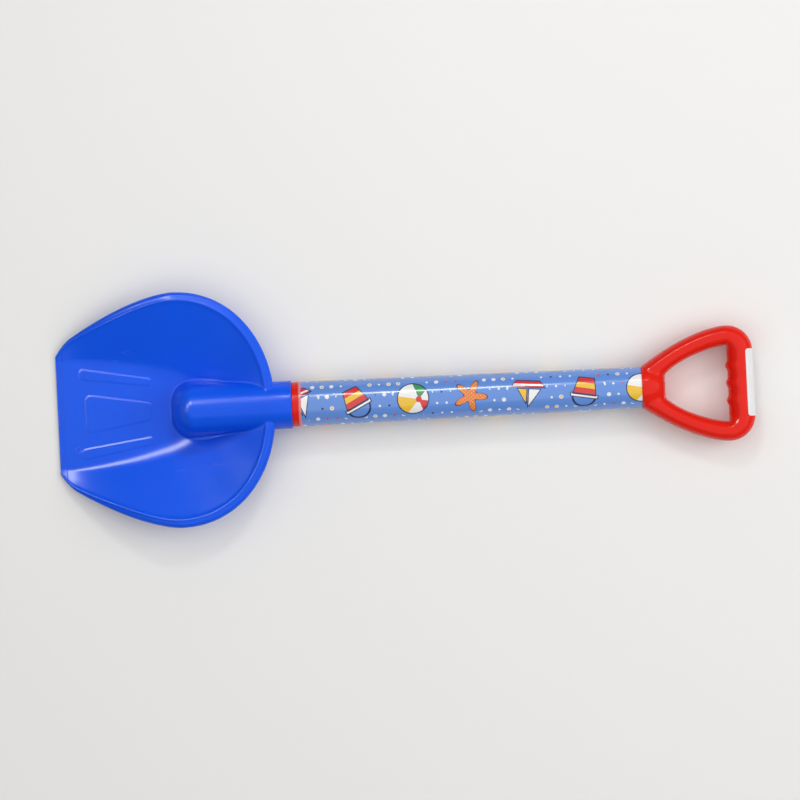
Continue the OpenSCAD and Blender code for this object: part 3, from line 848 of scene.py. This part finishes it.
def label_shell(shells, s):
    """Label bent round the outside of the crossbar: rows at even lengths along the bar's section, columns
    along the bar, shortened near the ends by a circle for the rounded corners. Both faces meet in an edge."""
    roll = s.grip_depth / 2 - s.seam_land
    share = mix(1 - s.label_wrap / s.bar_w, 1, np.sin(np.linspace(0, QUARTER, LABEL_SECTION_POINTS)))
    bar_x = s.grip_len - s.bar_w + s.bar_w * share
    bar_z = s.seam_land + shell_height(share, roll, 0, 1)
    path_x = np.concatenate([bar_x, bar_x[::-1]])
    path_z = np.concatenate([bar_z, -bar_z[::-1]])
    walked = np.concatenate([[0], np.cumsum(np.hypot(np.diff(path_x), np.diff(path_z)))])
    edge = LABEL_CORNER_SHARES * s.label_corner
    even = np.linspace(edge[-1], walked[-1] - edge[-1], LABEL_ROWS)[1:-1]
    place = np.concatenate([edge, even, walked[-1] - edge[::-1]])
    from_end = np.minimum(place, walked[-1] - place)
    inset = s.label_corner * (1 - quarter_round(from_end / s.label_corner))
    half_len = ((LABEL_HIGH.y - LABEL_LOW.y) / 2 - inset)[:, None]
    even = np.linspace(-LABEL_BODY_SHARE, LABEL_BODY_SHARE, LABEL_COLUMNS)
    along = np.concatenate([-LABEL_END_SHARES, even, LABEL_END_SHARES[::-1]])[None]
    x = np.interp(place, walked, path_x)[:, None]
    z = np.interp(place, walked, path_z)[:, None]
    from_edge = np.minimum(from_end[:, None], half_len * (1 - np.abs(along)))
    full = np.clip(from_edge / (s.label_lift / 2), 0, 1)
    middle_x = s.grip_len - s.bar_w / 2
    for face, flip in ((1, True), (LABEL_BACK_SHARE, False)):
        grow = 1 + s.label_lift * mix(LABEL_EDGE_SHARE, face, full) / (s.bar_w / 2)
        place_x = FRONT_X + GRIP_X + middle_x + (x - middle_x) * grow
        shells.add(stack(place_x, half_len * along, AXIS_Z + z * grow), flip=flip)


# Materials

# Sockets of the Mix node that take and give colours
MIX_FACTOR = 0
MIX_FIRST = 6
MIX_SECOND = 7
MIX_RESULT = 2


class Graph:
    """Short way to write a material's node tree: numbers are set on sockets, and sockets are linked."""

    def __init__(self, name):
        self.material = bpy.data.materials.new(name)
        self.material.use_nodes = True
        self.tree = self.material.node_tree
        self.shader = self.tree.nodes["Principled BSDF"]

    def put(self, socket, value):
        """Sets a socket to a value, or links it to another node's socket."""
        if isinstance(value, bpy.types.NodeSocket):
            self.tree.links.new(value, socket)
        else:
            socket.default_value = value

    def node(self, kind, inputs, **settings):
        """Adds a node with its settings and its inputs by name or number."""
        made = self.tree.nodes.new("ShaderNode" + kind)
        for name, value in settings.items():
            setattr(made, name, value)
        for name, value in inputs.items():
            self.put(made.inputs[name], value)
        return made

    def math(self, operation, *values):
        """Result of a sum or function of sockets and numbers."""
        return self.node("Math", dict(enumerate(values)), operation=operation).outputs[0]

    def add(self, a, b):
        """Sum."""
        return self.math("ADD", a, b)

    def sub(self, a, b):
        """Difference."""
        return self.math("SUBTRACT", a, b)

    def mul(self, a, b):
        """Product."""
        return self.math("MULTIPLY", a, b)

    def mul_add(self, a, b, c):
        """Product of the first two, plus the third."""
        return self.math("MULTIPLY_ADD", a, b, c)

    def size(self, a):
        """Number without its sign."""
        return self.math("ABSOLUTE", a)

    def blend(self, factor, first, second):
        """Colour between two colours."""
        inputs = {MIX_FACTOR: factor, MIX_FIRST: rgba(first), MIX_SECOND: rgba(second)}
        return self.node("Mix", inputs, data_type="RGBA").outputs[MIX_RESULT]

    def cloudy(self, noise, colour, tones):
        """Colour that drifts between a darker and a lighter tone of itself."""
        return self.blend(noise, *(shade(colour, factor) for factor in tones))

    def noise(self, waves, detail=2.0, stretch=(1, 1, 1)):
        """Soft noise in object coordinates, with its scale in waves per metre."""
        place = self.node("TexCoord", {}).outputs["Object"]
        vector = self.node("Mapping", {"Vector": place, "Scale": stretch}).outputs[0]
        return self.node("TexNoise", {"Vector": vector, "Scale": waves, "Detail": detail}).outputs[0]

    def spread(self, value, low, high):
        """Value from 0 to 1 carried to the range from low to high."""
        return self.node("MapRange", {"Value": value, "To Min": low, "To Max": high}).outputs[0]

    def cut(self, value, low, high):
        """Value from low to high carried to the range from 0 to 1."""
        return self.node("MapRange", {"Value": value, "From Min": low, "From Max": high}).outputs[0]

    def bump(self, *layers):
        """Relief of layers of height and depth in metres, on the shader's normal."""
        normal = None
        for height, depth in layers:
            inputs = {"Height": height, "Distance": depth, "Strength": 1.0}
            if normal:
                inputs["Normal"] = normal
            normal = self.node("Bump", inputs).outputs[0]
        self.put(self.shader.inputs["Normal"], normal)

    def finish(self, **values):
        """Sets the shader's sockets by name, with underscores for spaces."""
        for name, value in values.items():
            self.put(self.shader.inputs[name.replace("_", " ")], value)
        return self.material


def rgba(colour):
    """Colour with a fourth number, or the socket as it is."""
    if isinstance(colour, bpy.types.NodeSocket):
        return colour
    return (*colour, 1.0)


def shade(colour, factor):
    """Colour made darker or lighter."""
    return tuple(min(1.0, part * factor) for part in colour)


# Moulded plastic: noises in waves per metre, depths of its relief, tones and roughness
CLOUD_WAVES = 9
CLOUD_TONES = (0.93, 1.06)
SPECK_WAVES = 140
SPECK_SHARE = 0.12
SPECK_TONE = 0.8
SCUFF_WAVES = 60
SCUFF_STRETCH = (0.25, 1, 1)
SCUFF_RANGE = (0.62, 0.78)
SCUFF_ROUGH = 0.07
MOULD_WAVES = 28
MOULD_DEPTH = 0.12 * MM
GRAIN_WAVES = 1500
PLASTIC_GLOSS = 0.22


def moulded_plastic(name, colour, rough, grain):
    """Moulded plastic: cloudy colour, patches of duller skin between two roughnesses, fine scuffs along
    the part, and the faint waviness and grain of a mould."""
    g = Graph(name)
    cloud = g.noise(CLOUD_WAVES, detail=3)
    tone = g.cloudy(cloud, colour, CLOUD_TONES)
    speck = g.spread(g.noise(SPECK_WAVES), 0, SPECK_SHARE)
    tone = g.blend(speck, tone, shade(colour, SPECK_TONE))
    scuff = g.cut(g.noise(SCUFF_WAVES, detail=4, stretch=SCUFF_STRETCH), *SCUFF_RANGE)
    skin = g.mul_add(scuff, SCUFF_ROUGH, g.spread(cloud, *rough))
    g.bump((g.noise(MOULD_WAVES, detail=1), MOULD_DEPTH), (g.noise(GRAIN_WAVES), grain))
    return g.finish(Base_Color=tone, Roughness=skin, Specular_IOR_Level=PLASTIC_GLOSS)


# Label paper
PAPER_WAVES = 260
PAPER_TONES = (0.97, 1.01)
FIBRE_WAVES = 900
FIBRE_DEPTH = 0.02 * MM
PAPER_SKIN_WAVES = 120
PAPER_ROUGH = (0.3, 0.42)


def label_paper(colour):
    """Bare glossy label paper: a slightly cloudy white with a faint fibre relief."""
    g = Graph("label_paper")
    tone = g.cloudy(g.noise(PAPER_WAVES, detail=3), colour, PAPER_TONES)
    g.bump((g.noise(FIBRE_WAVES, detail=3), FIBRE_DEPTH))
    rough = g.spread(g.noise(PAPER_SKIN_WAVES), *PAPER_ROUGH)
    return g.finish(Base_Color=tone, Roughness=rough, IOR=1.45)


# Floor of the studio
FLOOR_WAVES = 1.3
FLOOR_TONES = (0.985, 1.012)


def pale_floor(colour):
    """Pale studio floor with a barely cloudy tone."""
    g = Graph("pale_floor")
    tone = g.cloudy(g.noise(FLOOR_WAVES, detail=3), colour, FLOOR_TONES)
    return g.finish(Base_Color=tone, Roughness=0.75, Specular_IOR_Level=0.2)


# Film print, in millimetres on the film

WHITE = (0.85, 0.85, 0.85)
RED = (0.68, 0.03, 0.03)
YELLOW = (0.85, 0.52, 0.03)
ORANGE = (0.80, 0.20, 0.03)
NAVY = (0.012, 0.02, 0.09)
GREEN = (0.05, 0.30, 0.10)
SAND = (0.75, 0.48, 0.24)
INK = 0.45
FINE_INK = 0.4


class Print(Graph):
    """Print on the film, worked out in millimetres from the film's own map."""

    def inside(self, distance):
        """1 where a signed distance is below zero."""
        return self.math("LESS_THAN", distance, 0)

    def ink(self, half_w, *distances):
        """1 in a line of a half width about the edges of forms."""
        nearest = self.size(distances[0])
        for distance in distances[1:]:
            nearest = self.math("MINIMUM", nearest, self.size(distance))
        return self.math("LESS_THAN", nearest, half_w)

    def slab(self, x, middle, half_w):
        """Distance beyond a band about a middle."""
        return self.sub(self.size(self.sub(x, middle)), half_w)

    def both(self, *distances):
        """Distance to the part that lies in all the forms."""
        result = distances[0]
        for distance in distances[1:]:
            result = self.math("MAXIMUM", result, distance)
        return result

    def radius(self, x, y, middle_x=0.0, middle_y=0.0):
        """Distance from a middle: the root of the sum of two squares."""
        off_x = self.sub(x, middle_x)
        off_y = self.sub(y, middle_y)
        return self.math("SQRT", self.mul_add(off_x, off_x, self.mul(off_y, off_y)))

    def centred(self, value, cell):
        """Place in a cell of a length, counted from the cell's middle."""
        return self.mul(self.sub(self.math("FRACT", value), 0.5), cell)

    def hash(self, *values):
        """Number from 0 to 1 that differs from cell to cell."""
        vector = self.node("CombineXYZ", dict(enumerate(values))).outputs[0]
        return self.node("TexWhiteNoise", {"Vector": vector}).outputs["Value"]

    def steps(self, value, *colours):
        """Even bands of colours over a value from 0 to 1."""
        ramp = self.node("ValToRGB", {"Fac": value})
        ramp.color_ramp.interpolation = "CONSTANT"
        stops = ramp.color_ramp.elements
        given = len(stops)
        for index, colour in enumerate(colours):
            at = index / len(colours)
            stop = stops[index] if index < given else stops.new(at)
            stop.position = at
            stop.color = rgba(colour)
        return ramp.outputs[0]

    def paint(self, under, layers):
        """Colours laid over one another, each with its own mask."""
        for mask, colour in layers:
            under = self.blend(mask, under, colour)
        return under


def beach_ball(p, x, y):
    """Ball in six sectors about a pole that lies off the middle, with a cap on the pole."""
    ball_r = 12.5
    pole_x = 3.5
    pole_y = 3.0
    cap_r = 2.4
    first_share = 1.05
    edge = p.sub(p.radius(x, y), ball_r)
    turn = p.math("ARCTAN2", p.sub(y, pole_y), p.sub(x, pole_x))
    share = p.math("FRACT", p.mul_add(turn, 1 / TURN, first_share))
    sectors = p.steps(share, WHITE, RED, WHITE, YELLOW, WHITE, GREEN)
    cap = p.sub(p.radius(x, y, pole_x, pole_y), cap_r)
    return [
        (p.inside(edge), sectors),
        (p.inside(cap), RED),
        (p.ink(INK, edge), NAVY),
    ]


def starfish(p, x, y):
    """Star whose radius swells five times round, with pale dots along its arms."""
    arms = 5
    core_r = 5.2
    arm_len = 8.6
    arm_power = 1.4
    dot_waves = 2.1
    dot_level = 0.55
    dot_inset = 1.6
    turn = p.mul(p.math("ARCTAN2", y, x), arms)
    swell = p.mul_add(p.math("COSINE", turn), 0.5, 0.5)
    reach = p.mul_add(p.math("POWER", swell, arm_power), arm_len, core_r)
    edge = p.sub(p.radius(x, y), reach)
    columns = p.math("SINE", p.mul(x, dot_waves))
    rows = p.math("SINE", p.mul(y, dot_waves))
    dots = p.both(p.sub(dot_level, p.mul(columns, rows)), p.add(edge, dot_inset))
    return [
        (p.inside(edge), ORANGE),
        (p.inside(dots), SAND),
        (p.ink(INK, edge), NAVY),
    ]


def sail_boat(p, x, y):
    """Boat of a trapezoid hull with a stripe, and two triangular sails beside a mast."""
    hull_y = -7.6
    hull_half_h = 2.9
    hull_half_w = 16.8
    hull_flare = -0.7
    stripe_y = -6.8
    stripe_half_h = 0.7
    mast_half_w = 0.7
    sail_foot = -3.4
    sail_lean = 0.62
    front_w = 8.2
    back_w = 6.4
    beyond = p.add(p.size(x), p.sub(p.mul(y, hull_flare), hull_half_w))
    hull = p.both(p.slab(y, hull_y, hull_half_h), beyond)
    stripe = p.both(hull, p.slab(y, stripe_y, stripe_half_h))
    below = p.sub(sail_foot, y)
    lean = p.mul(y, sail_lean)
    front = p.both(p.sub(mast_half_w, x), below, p.sub(p.add(x, lean), front_w))
    back = p.both(p.add(x, mast_half_w), below, p.sub(lean, p.add(x, back_w)))
    return [
        (p.inside(hull), RED),
        (p.inside(stripe), WHITE),
        (p.inside(front), WHITE),
        (p.inside(back), YELLOW),
        (p.ink(FINE_INK, hull, front, back), NAVY),
    ]


def sand_pail(p, x, y):
    """Pail of a tapered body with a band, a straight rim and half a ring for its handle."""
    body_y = -3.6
    body_half_h = 7.4
    body_half_w = 8.6
    body_taper = 0.22
    band_y = -4.0
    band_half_h = 2.2
    lip_y = 4.6
    lip_half_h = 1.5
    lip_half_w = 11.0
    handle_y = 5.0
    handle_r = 9.2
    handle_half_w = 0.8
    handle_foot = 6.0
    wide = p.size(x)
    body = p.both(p.slab(y, body_y, body_half_h), p.sub(wide, p.mul_add(y, body_taper, body_half_w)))
    band = p.both(body, p.slab(y, band_y, band_half_h))
    lip = p.both(p.slab(y, lip_y, lip_half_h), p.sub(wide, lip_half_w))
    ring = p.slab(p.radius(x, y, 0.0, handle_y), handle_r, handle_half_w)
    handle = p.both(ring, p.sub(handle_foot, y))
    return [
        (p.inside(handle), NAVY),
        (p.inside(body), RED),
        (p.inside(band), YELLOW),
        (p.inside(lip), WHITE),
        (p.ink(FINE_INK, body, lip), NAVY),
    ]


# Layout of the print: cells with a motif each, and smaller cells with a dot or a ring each
MOTIFS = (beach_ball, starfish, sail_boat, sand_pail)
MOTIF_STEP = 2
MOTIF_SCALE = 1.25
MOTIF_CLEAR = 20.0
MOTIF_LEAN = 1.2
LEAN_SEED = 0.3
STAGGER_SHARE = 0.5
ACCENT_COLUMNS = 6
ACCENT_ROWS = 4
ACCENT_SEED = 0.7
DOT_R = 1.15
RING_R = 1.7
RING_FROM_SHARE = 0.62

# Film: noises in waves per metre, depths of its relief, tones and roughness
FILM_CLOUD_WAVES = 12
FILM_TONES = (0.93, 1.07)
MARGIN_WAVES = 90
MARGIN_WANDER = 1.2
MARGIN_PALE = 0.75
MARGIN_PALE_SHARE = 0.25
SHRINK_WAVES = 45
SHRINK_STRETCH = (0.4, 1, 1)
SHRINK_DEPTH = 0.45 * MM
FILM_GRAIN_WAVES = 700
FILM_GRAIN_DEPTH = 0.006 * MM
FILM_SKIN_WAVES = 80
FILM_ROUGH = (0.16, 0.24)


def scattered_marks(p, u, v, cell_len, cell_w, clear):
    """Dots of several colours in staggered small cells, some with a ring, where the clear mask lets them."""
    small_v = p.mul(v, ACCENT_ROWS)
    line = p.math("FLOOR", small_v)
    small_u = p.mul_add(u, ACCENT_COLUMNS, p.mul(line, STAGGER_SHARE))
    draw = p.hash(p.math("FLOOR", small_u), line, ACCENT_SEED)
    x = p.centred(small_u, cell_len / ACCENT_COLUMNS)
    y = p.centred(small_v, cell_w / ACCENT_ROWS)
    away = p.radius(x, y)
    dot = p.mul(p.math("LESS_THAN", away, DOT_R), clear)
    ring = p.mul(p.ink(FINE_INK, p.sub(away, RING_R)), clear)
    ring = p.mul(ring, p.math("GREATER_THAN", draw, RING_FROM_SHARE))
    colours = p.steps(draw, WHITE, WHITE, RED, WHITE, NAVY, WHITE, YELLOW, WHITE)
    return [(dot, colours), (ring, WHITE)]


def printed_film(colour, red, s):
    """Glossy film with beach things in staggered cells, each turned by its own angle, small rings and dots
    between them, and a clear margin at the blade end through which the red tube shows."""
    p = Print("sleeve_film")
    cell_len = (GRIP_X - FILM_X) / PRINT_COLUMNS / MM
    cell_w = TURN * (s.blade_r + s.grip_r) / 2 / PRINT_ROWS / MM
    uv = p.node("SeparateXYZ", {0: p.node("UVMap", {}, uv_map=PRINT_MAP).outputs[0]})
    u = uv.outputs[0]
    v = uv.outputs[1]
    line = p.math("FLOOR", v)
    across = p.mul_add(line, STAGGER_SHARE, u)
    column = p.math("FLOOR", across)
    cell_x = p.centred(across, cell_len)
    cell_y = p.centred(v, cell_w)
    lean = p.mul_add(p.hash(column, line, LEAN_SEED), MOTIF_LEAN, -MOTIF_LEAN / 2)
    sine = p.math("DIVIDE", p.math("SINE", lean), MOTIF_SCALE)
    cosine = p.math("DIVIDE", p.math("COSINE", lean), MOTIF_SCALE)
    x = p.mul_add(cell_x, cosine, p.mul(cell_y, sine))
    y = p.sub(p.mul(cell_y, cosine), p.mul(cell_x, sine))
    kind = p.math("FLOORED_MODULO", p.mul_add(line, MOTIF_STEP, column), len(MOTIFS))
    clear = p.math("GREATER_THAN", p.radius(cell_x, cell_y), MOTIF_CLEAR)

    tone = p.cloudy(p.noise(FILM_CLOUD_WAVES), colour, FILM_TONES)
    tone = p.paint(tone, scattered_marks(p, u, v, cell_len, cell_w, clear))
    for index, motif in enumerate(MOTIFS):
        chosen = p.math("COMPARE", kind, index, 0.5)
        tone = p.paint(tone, [(p.mul(mask, chosen), paint) for mask, paint in motif(p, x, y)])
    margin = p.mul_add(p.noise(MARGIN_WAVES), MARGIN_WANDER, s.clear_w / MM - MARGIN_WANDER / 2)
    clear_end = p.math("LESS_THAN", p.mul(u, cell_len), margin)
    tone = p.blend(clear_end, tone, tuple(mix(part, MARGIN_PALE, MARGIN_PALE_SHARE) for part in red))
    p.bump(
        (p.noise(SHRINK_WAVES, stretch=SHRINK_STRETCH), SHRINK_DEPTH),
        (p.noise(FILM_GRAIN_WAVES), FILM_GRAIN_DEPTH),
    )
    rough = p.spread(p.noise(FILM_SKIN_WAVES), *FILM_ROUGH)
    return p.finish(Base_Color=tone, Roughness=rough, IOR=1.5, Coat_Weight=0.5, Coat_Roughness=0.07)


# Lights


class Lamp(NamedTuple):
    """Rectangular studio light: the stage's value that gives its radiance, its share of that value, its
    width and height, its place, the place along the shaft that it faces, whether it lights the pieces,
    whether it is seen mirrored in them, and whether it shines on the blade alone."""

    name: str
    glow: str
    share: float
    width: float
    height: float
    place: tuple
    aim_x: float
    lit: bool = True
    seen: bool = True
    blade_only: bool = False


LAMPS = (
    Lamp("blade_strip", "strip_glow", 3.0, 0.48, 0.26, (-0.56, 0.65, 1.07), -0.56, lit=False),
    Lamp("hump_strip", "strip_glow", 0.35, 0.16, 0.2, (-0.155, 0.853, 1.0), -0.155, lit=False),
    Lamp("nose_strip", "strip_glow", 0.6, 0.16, 0.9, (-1.6, 0.0, 0.85), -0.2, lit=False, blade_only=True),
    Lamp("rim_strip", "strip_glow", 2.0, 0.4, 0.3, (-1.18, 0.41, 1.0), -0.27, lit=False, blade_only=True),
    Lamp("shaft_strip", "strip_glow", 1.8, 0.275, 0.12, (0.0625, 0.853, 1.0), 0.0625),
    Lamp("grip_strip", "strip_glow", 1.0, 0.14, 0.12, (0.38, 0.853, 1.0), 0.38, lit=False),
    Lamp("top_light", "top_glow", 1.0, 7.0, 4.0, (0.4, 0.0, 2.4), 0.4),
    Lamp("side_light", "side_glow", 1.0, 1.5, 1.5, (2.2, 0.3, 1.6), 0.0, seen=False),
)
SKY_TINT = (1.0, 0.99, 0.975, 1.0)


# Operators


class MakeBlade(bpy.types.Operator):
    """Make the dished blade with its hump, socket and raised panels"""

    bl_idname = "shovel.blade"
    bl_label = "Blade"

    def execute(self, context):
        s = context.scene.shovel_blade
        shells = Shells()
        dish_shell(shells, s)
        hump_shell(shells, s)
        socket_shell(shells, s)
        panel_shells(shells, context.scene.shovel_panels, s)
        colour = context.scene.shovel_finishes.blade
        plastic = moulded_plastic("blade_plastic", colour, rough=(0.2, 0.27), grain=0.012 * MM)
        piece = shells.make("blade_moulding", plastic, "blade_plastic", "blade")
        bpy.data.collections[BLADE_LIGHT].objects.link(piece)
        return {"FINISHED"}


class MakeTube(bpy.types.Operator):
    """Make the tapered tube between the socket and the grip"""

    bl_idname = "shovel.tube"
    bl_label = "Tube"

    def execute(self, context):
        shells = Shells()
        tube_shell(shells, context.scene.shovel_shaft, context.scene.shovel_blade.bore_r)
        colour = context.scene.shovel_finishes.red
        plastic = moulded_plastic("tube_plastic", colour, rough=(0.2, 0.28), grain=0.008 * MM)
        shells.make("tapered_tube", plastic, "tube_plastic", "shaft_tube")
        return {"FINISHED"}


class MakeFilm(bpy.types.Operator):
    """Make the printed film round the tube"""

    bl_idname = "shovel.film"
    bl_label = "Film"

    def execute(self, context):
        s = context.scene.shovel_shaft
        finishes = context.scene.shovel_finishes
        shells = Shells()
        film_shell(shells, s)
        film = printed_film(finishes.film, finishes.red, s)
        shells.make("shrink_film", film, "sleeve_film", "printed_sleeve", uv_name=PRINT_MAP)
        return {"FINISHED"}


class MakeGrip(bpy.types.Operator):
    """Make the two shells of the D-grip"""

    bl_idname = "shovel.grip"
    bl_label = "Grip"

    def execute(self, context):
        s = context.scene.shovel_grip
        shaft = context.scene.shovel_shaft
        neck_r = shaft.grip_r + shaft.film_wall
        colour = context.scene.shovel_finishes.red
        plastic = moulded_plastic("grip_plastic", colour, rough=(0.12, 0.2), grain=0.006 * MM)
        for name, side in (("grip_front", 1), ("grip_rear", -1)):
            shells = Shells()
            grip_shell(shells, s, neck_r, side)
            shells.make(name, plastic, "grip_plastic", name + "_shell")
        return {"FINISHED"}


class MakeLabel(bpy.types.Operator):
    """Make the bare white label on the crossbar"""

    bl_idname = "shovel.label"
    bl_label = "Label"

    def execute(self, context):
        shells = Shells()
        label_shell(shells, context.scene.shovel_grip)
        paper = label_paper(context.scene.shovel_finishes.paper)
        shells.make("bare_label", paper, "label_paper", "grip_label")
        return {"FINISHED"}


class SetStage(bpy.types.Operator):
    """Set up the floor, the light and the camera"""

    bl_idname = "shovel.stage"
    bl_label = "Stage"

    def execute(self, context):
        scene = context.scene
        s = scene.shovel_stage
        scene.view_settings.view_transform = "Standard"
        self.floor(scene, s)
        bpy.data.collections.new(BLADE_LIGHT)
        for lamp in LAMPS:
            self.light(scene, s, lamp)
        world = bpy.data.worlds.new("studio")
        scene.world = world
        world.use_nodes = True
        sky = world.node_tree.nodes["Background"]
        sky.inputs["Color"].default_value = SKY_TINT
        sky.inputs["Strength"].default_value = s.sky
        camera = bpy.data.objects.new("camera", bpy.data.cameras.new("camera"))
        camera.data.lens = s.lens
        camera.location = (s.camera_x, s.camera_y, s.camera_h)
        camera.rotation_euler = (0, 0, s.turn)
        scene.collection.objects.link(camera)
        scene.camera = camera
        return {"FINISHED"}

    def floor(self, scene, s):
        """Square floor through the blade's heel and under the grip's neck."""
        heel_x = FRONT_X + scene.shovel_blade.floor_len
        neck_x = FRONT_X + GRIP_X
        shaft = scene.shovel_shaft
        neck_z = AXIS_Z - shaft.grip_r - shaft.film_wall - scene.shovel_grip.seam_land
        corner = np.linspace(-s.floor_w / 2, s.floor_w / 2, 2)
        x, y = np.meshgrid(corner, corner, indexing="ij")
        points = stack(x, y, (x - heel_x) * neck_z / (neck_x - heel_x)).reshape(-1, 3)
        mesh = bpy.data.meshes.new("floor")
        mesh.from_pydata(points, [], [(0, 2, 3, 1)])
        mesh.materials.append(pale_floor(scene.shovel_finishes.floor))
        floor = bpy.data.objects.new("floor", mesh)
        scene.collection.objects.link(floor)
        floor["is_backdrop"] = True

    def light(self, scene, s, lamp):
        """Makes a lamp, turned to face its place on the shaft. Its power is its radiance times pi times its
        area. A lamp for the blade alone is linked to it, as a flag would keep it off the rest."""
        light = bpy.data.lights.new(lamp.name, "AREA")
        light.shape = "RECTANGLE"
        light.size = lamp.width
        light.size_y = lamp.height
        light.energy = getattr(s, lamp.glow) * lamp.share * math.pi * lamp.width * lamp.height
        made = bpy.data.objects.new(lamp.name, light)
        made.location = lamp.place
        away = Vector(lamp.place) - Vector((lamp.aim_x, 0, 0))
        made.rotation_euler = away.to_track_quat("Z", "Y").to_euler()
        made.visible_camera = False
        made.visible_diffuse = lamp.lit
        made.visible_glossy = lamp.seen
        if lamp.blade_only:
            made.light_linking.receiver_collection = bpy.data.collections[BLADE_LIGHT]
        scene.collection.objects.link(made)


class ShovelPanel(bpy.types.Panel):
    """Buttons that make the shovel's pieces"""

    bl_idname = "VIEW3D_PT_shovel"
    bl_label = "Toy sand shovel"
    bl_space_type = "VIEW_3D"
    bl_region_type = "UI"
    bl_category = "Shovel"

    def draw(self, context):
        for operator in OPERATORS:
            self.layout.operator(operator.bl_idname)


GROUPS = {
    "shovel_blade": BladeSizes,
    "shovel_panels": PanelSizes,
    "shovel_shaft": ShaftSizes,
    "shovel_grip": GripSizes,
    "shovel_finishes": Finishes,
    "shovel_stage": StageSizes,
}
OPERATORS = (SetStage, MakeBlade, MakeTube, MakeFilm, MakeGrip, MakeLabel)


def register():
    """Registers the classes and puts the sizes on the scene."""
    for group in (*GROUPS.values(), *OPERATORS, ShovelPanel):
        bpy.utils.register_class(group)
    for name, group in GROUPS.items():
        setattr(bpy.types.Scene, name, bpy.props.PointerProperty(type=group))


def unregister():
    """Takes the sizes off the scene and the classes out again."""
    for name in GROUPS:
        delattr(bpy.types.Scene, name)
    for group in reversed((*GROUPS.values(), *OPERATORS, ShovelPanel)):
        bpy.utils.unregister_class(group)


def main():
    """Makes the stage and all pieces."""
    register()
    bpy.ops.shovel.stage()
    bpy.ops.shovel.blade()
    bpy.ops.shovel.tube()
    bpy.ops.shovel.film()
    bpy.ops.shovel.grip()
    bpy.ops.shovel.label()
    boxes = {"cad": CAD_BOX, "visual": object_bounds()}
    {name: [list(corner) for corner in box] for name, box in boxes.items()}


if __name__ == "__main__":
    main()
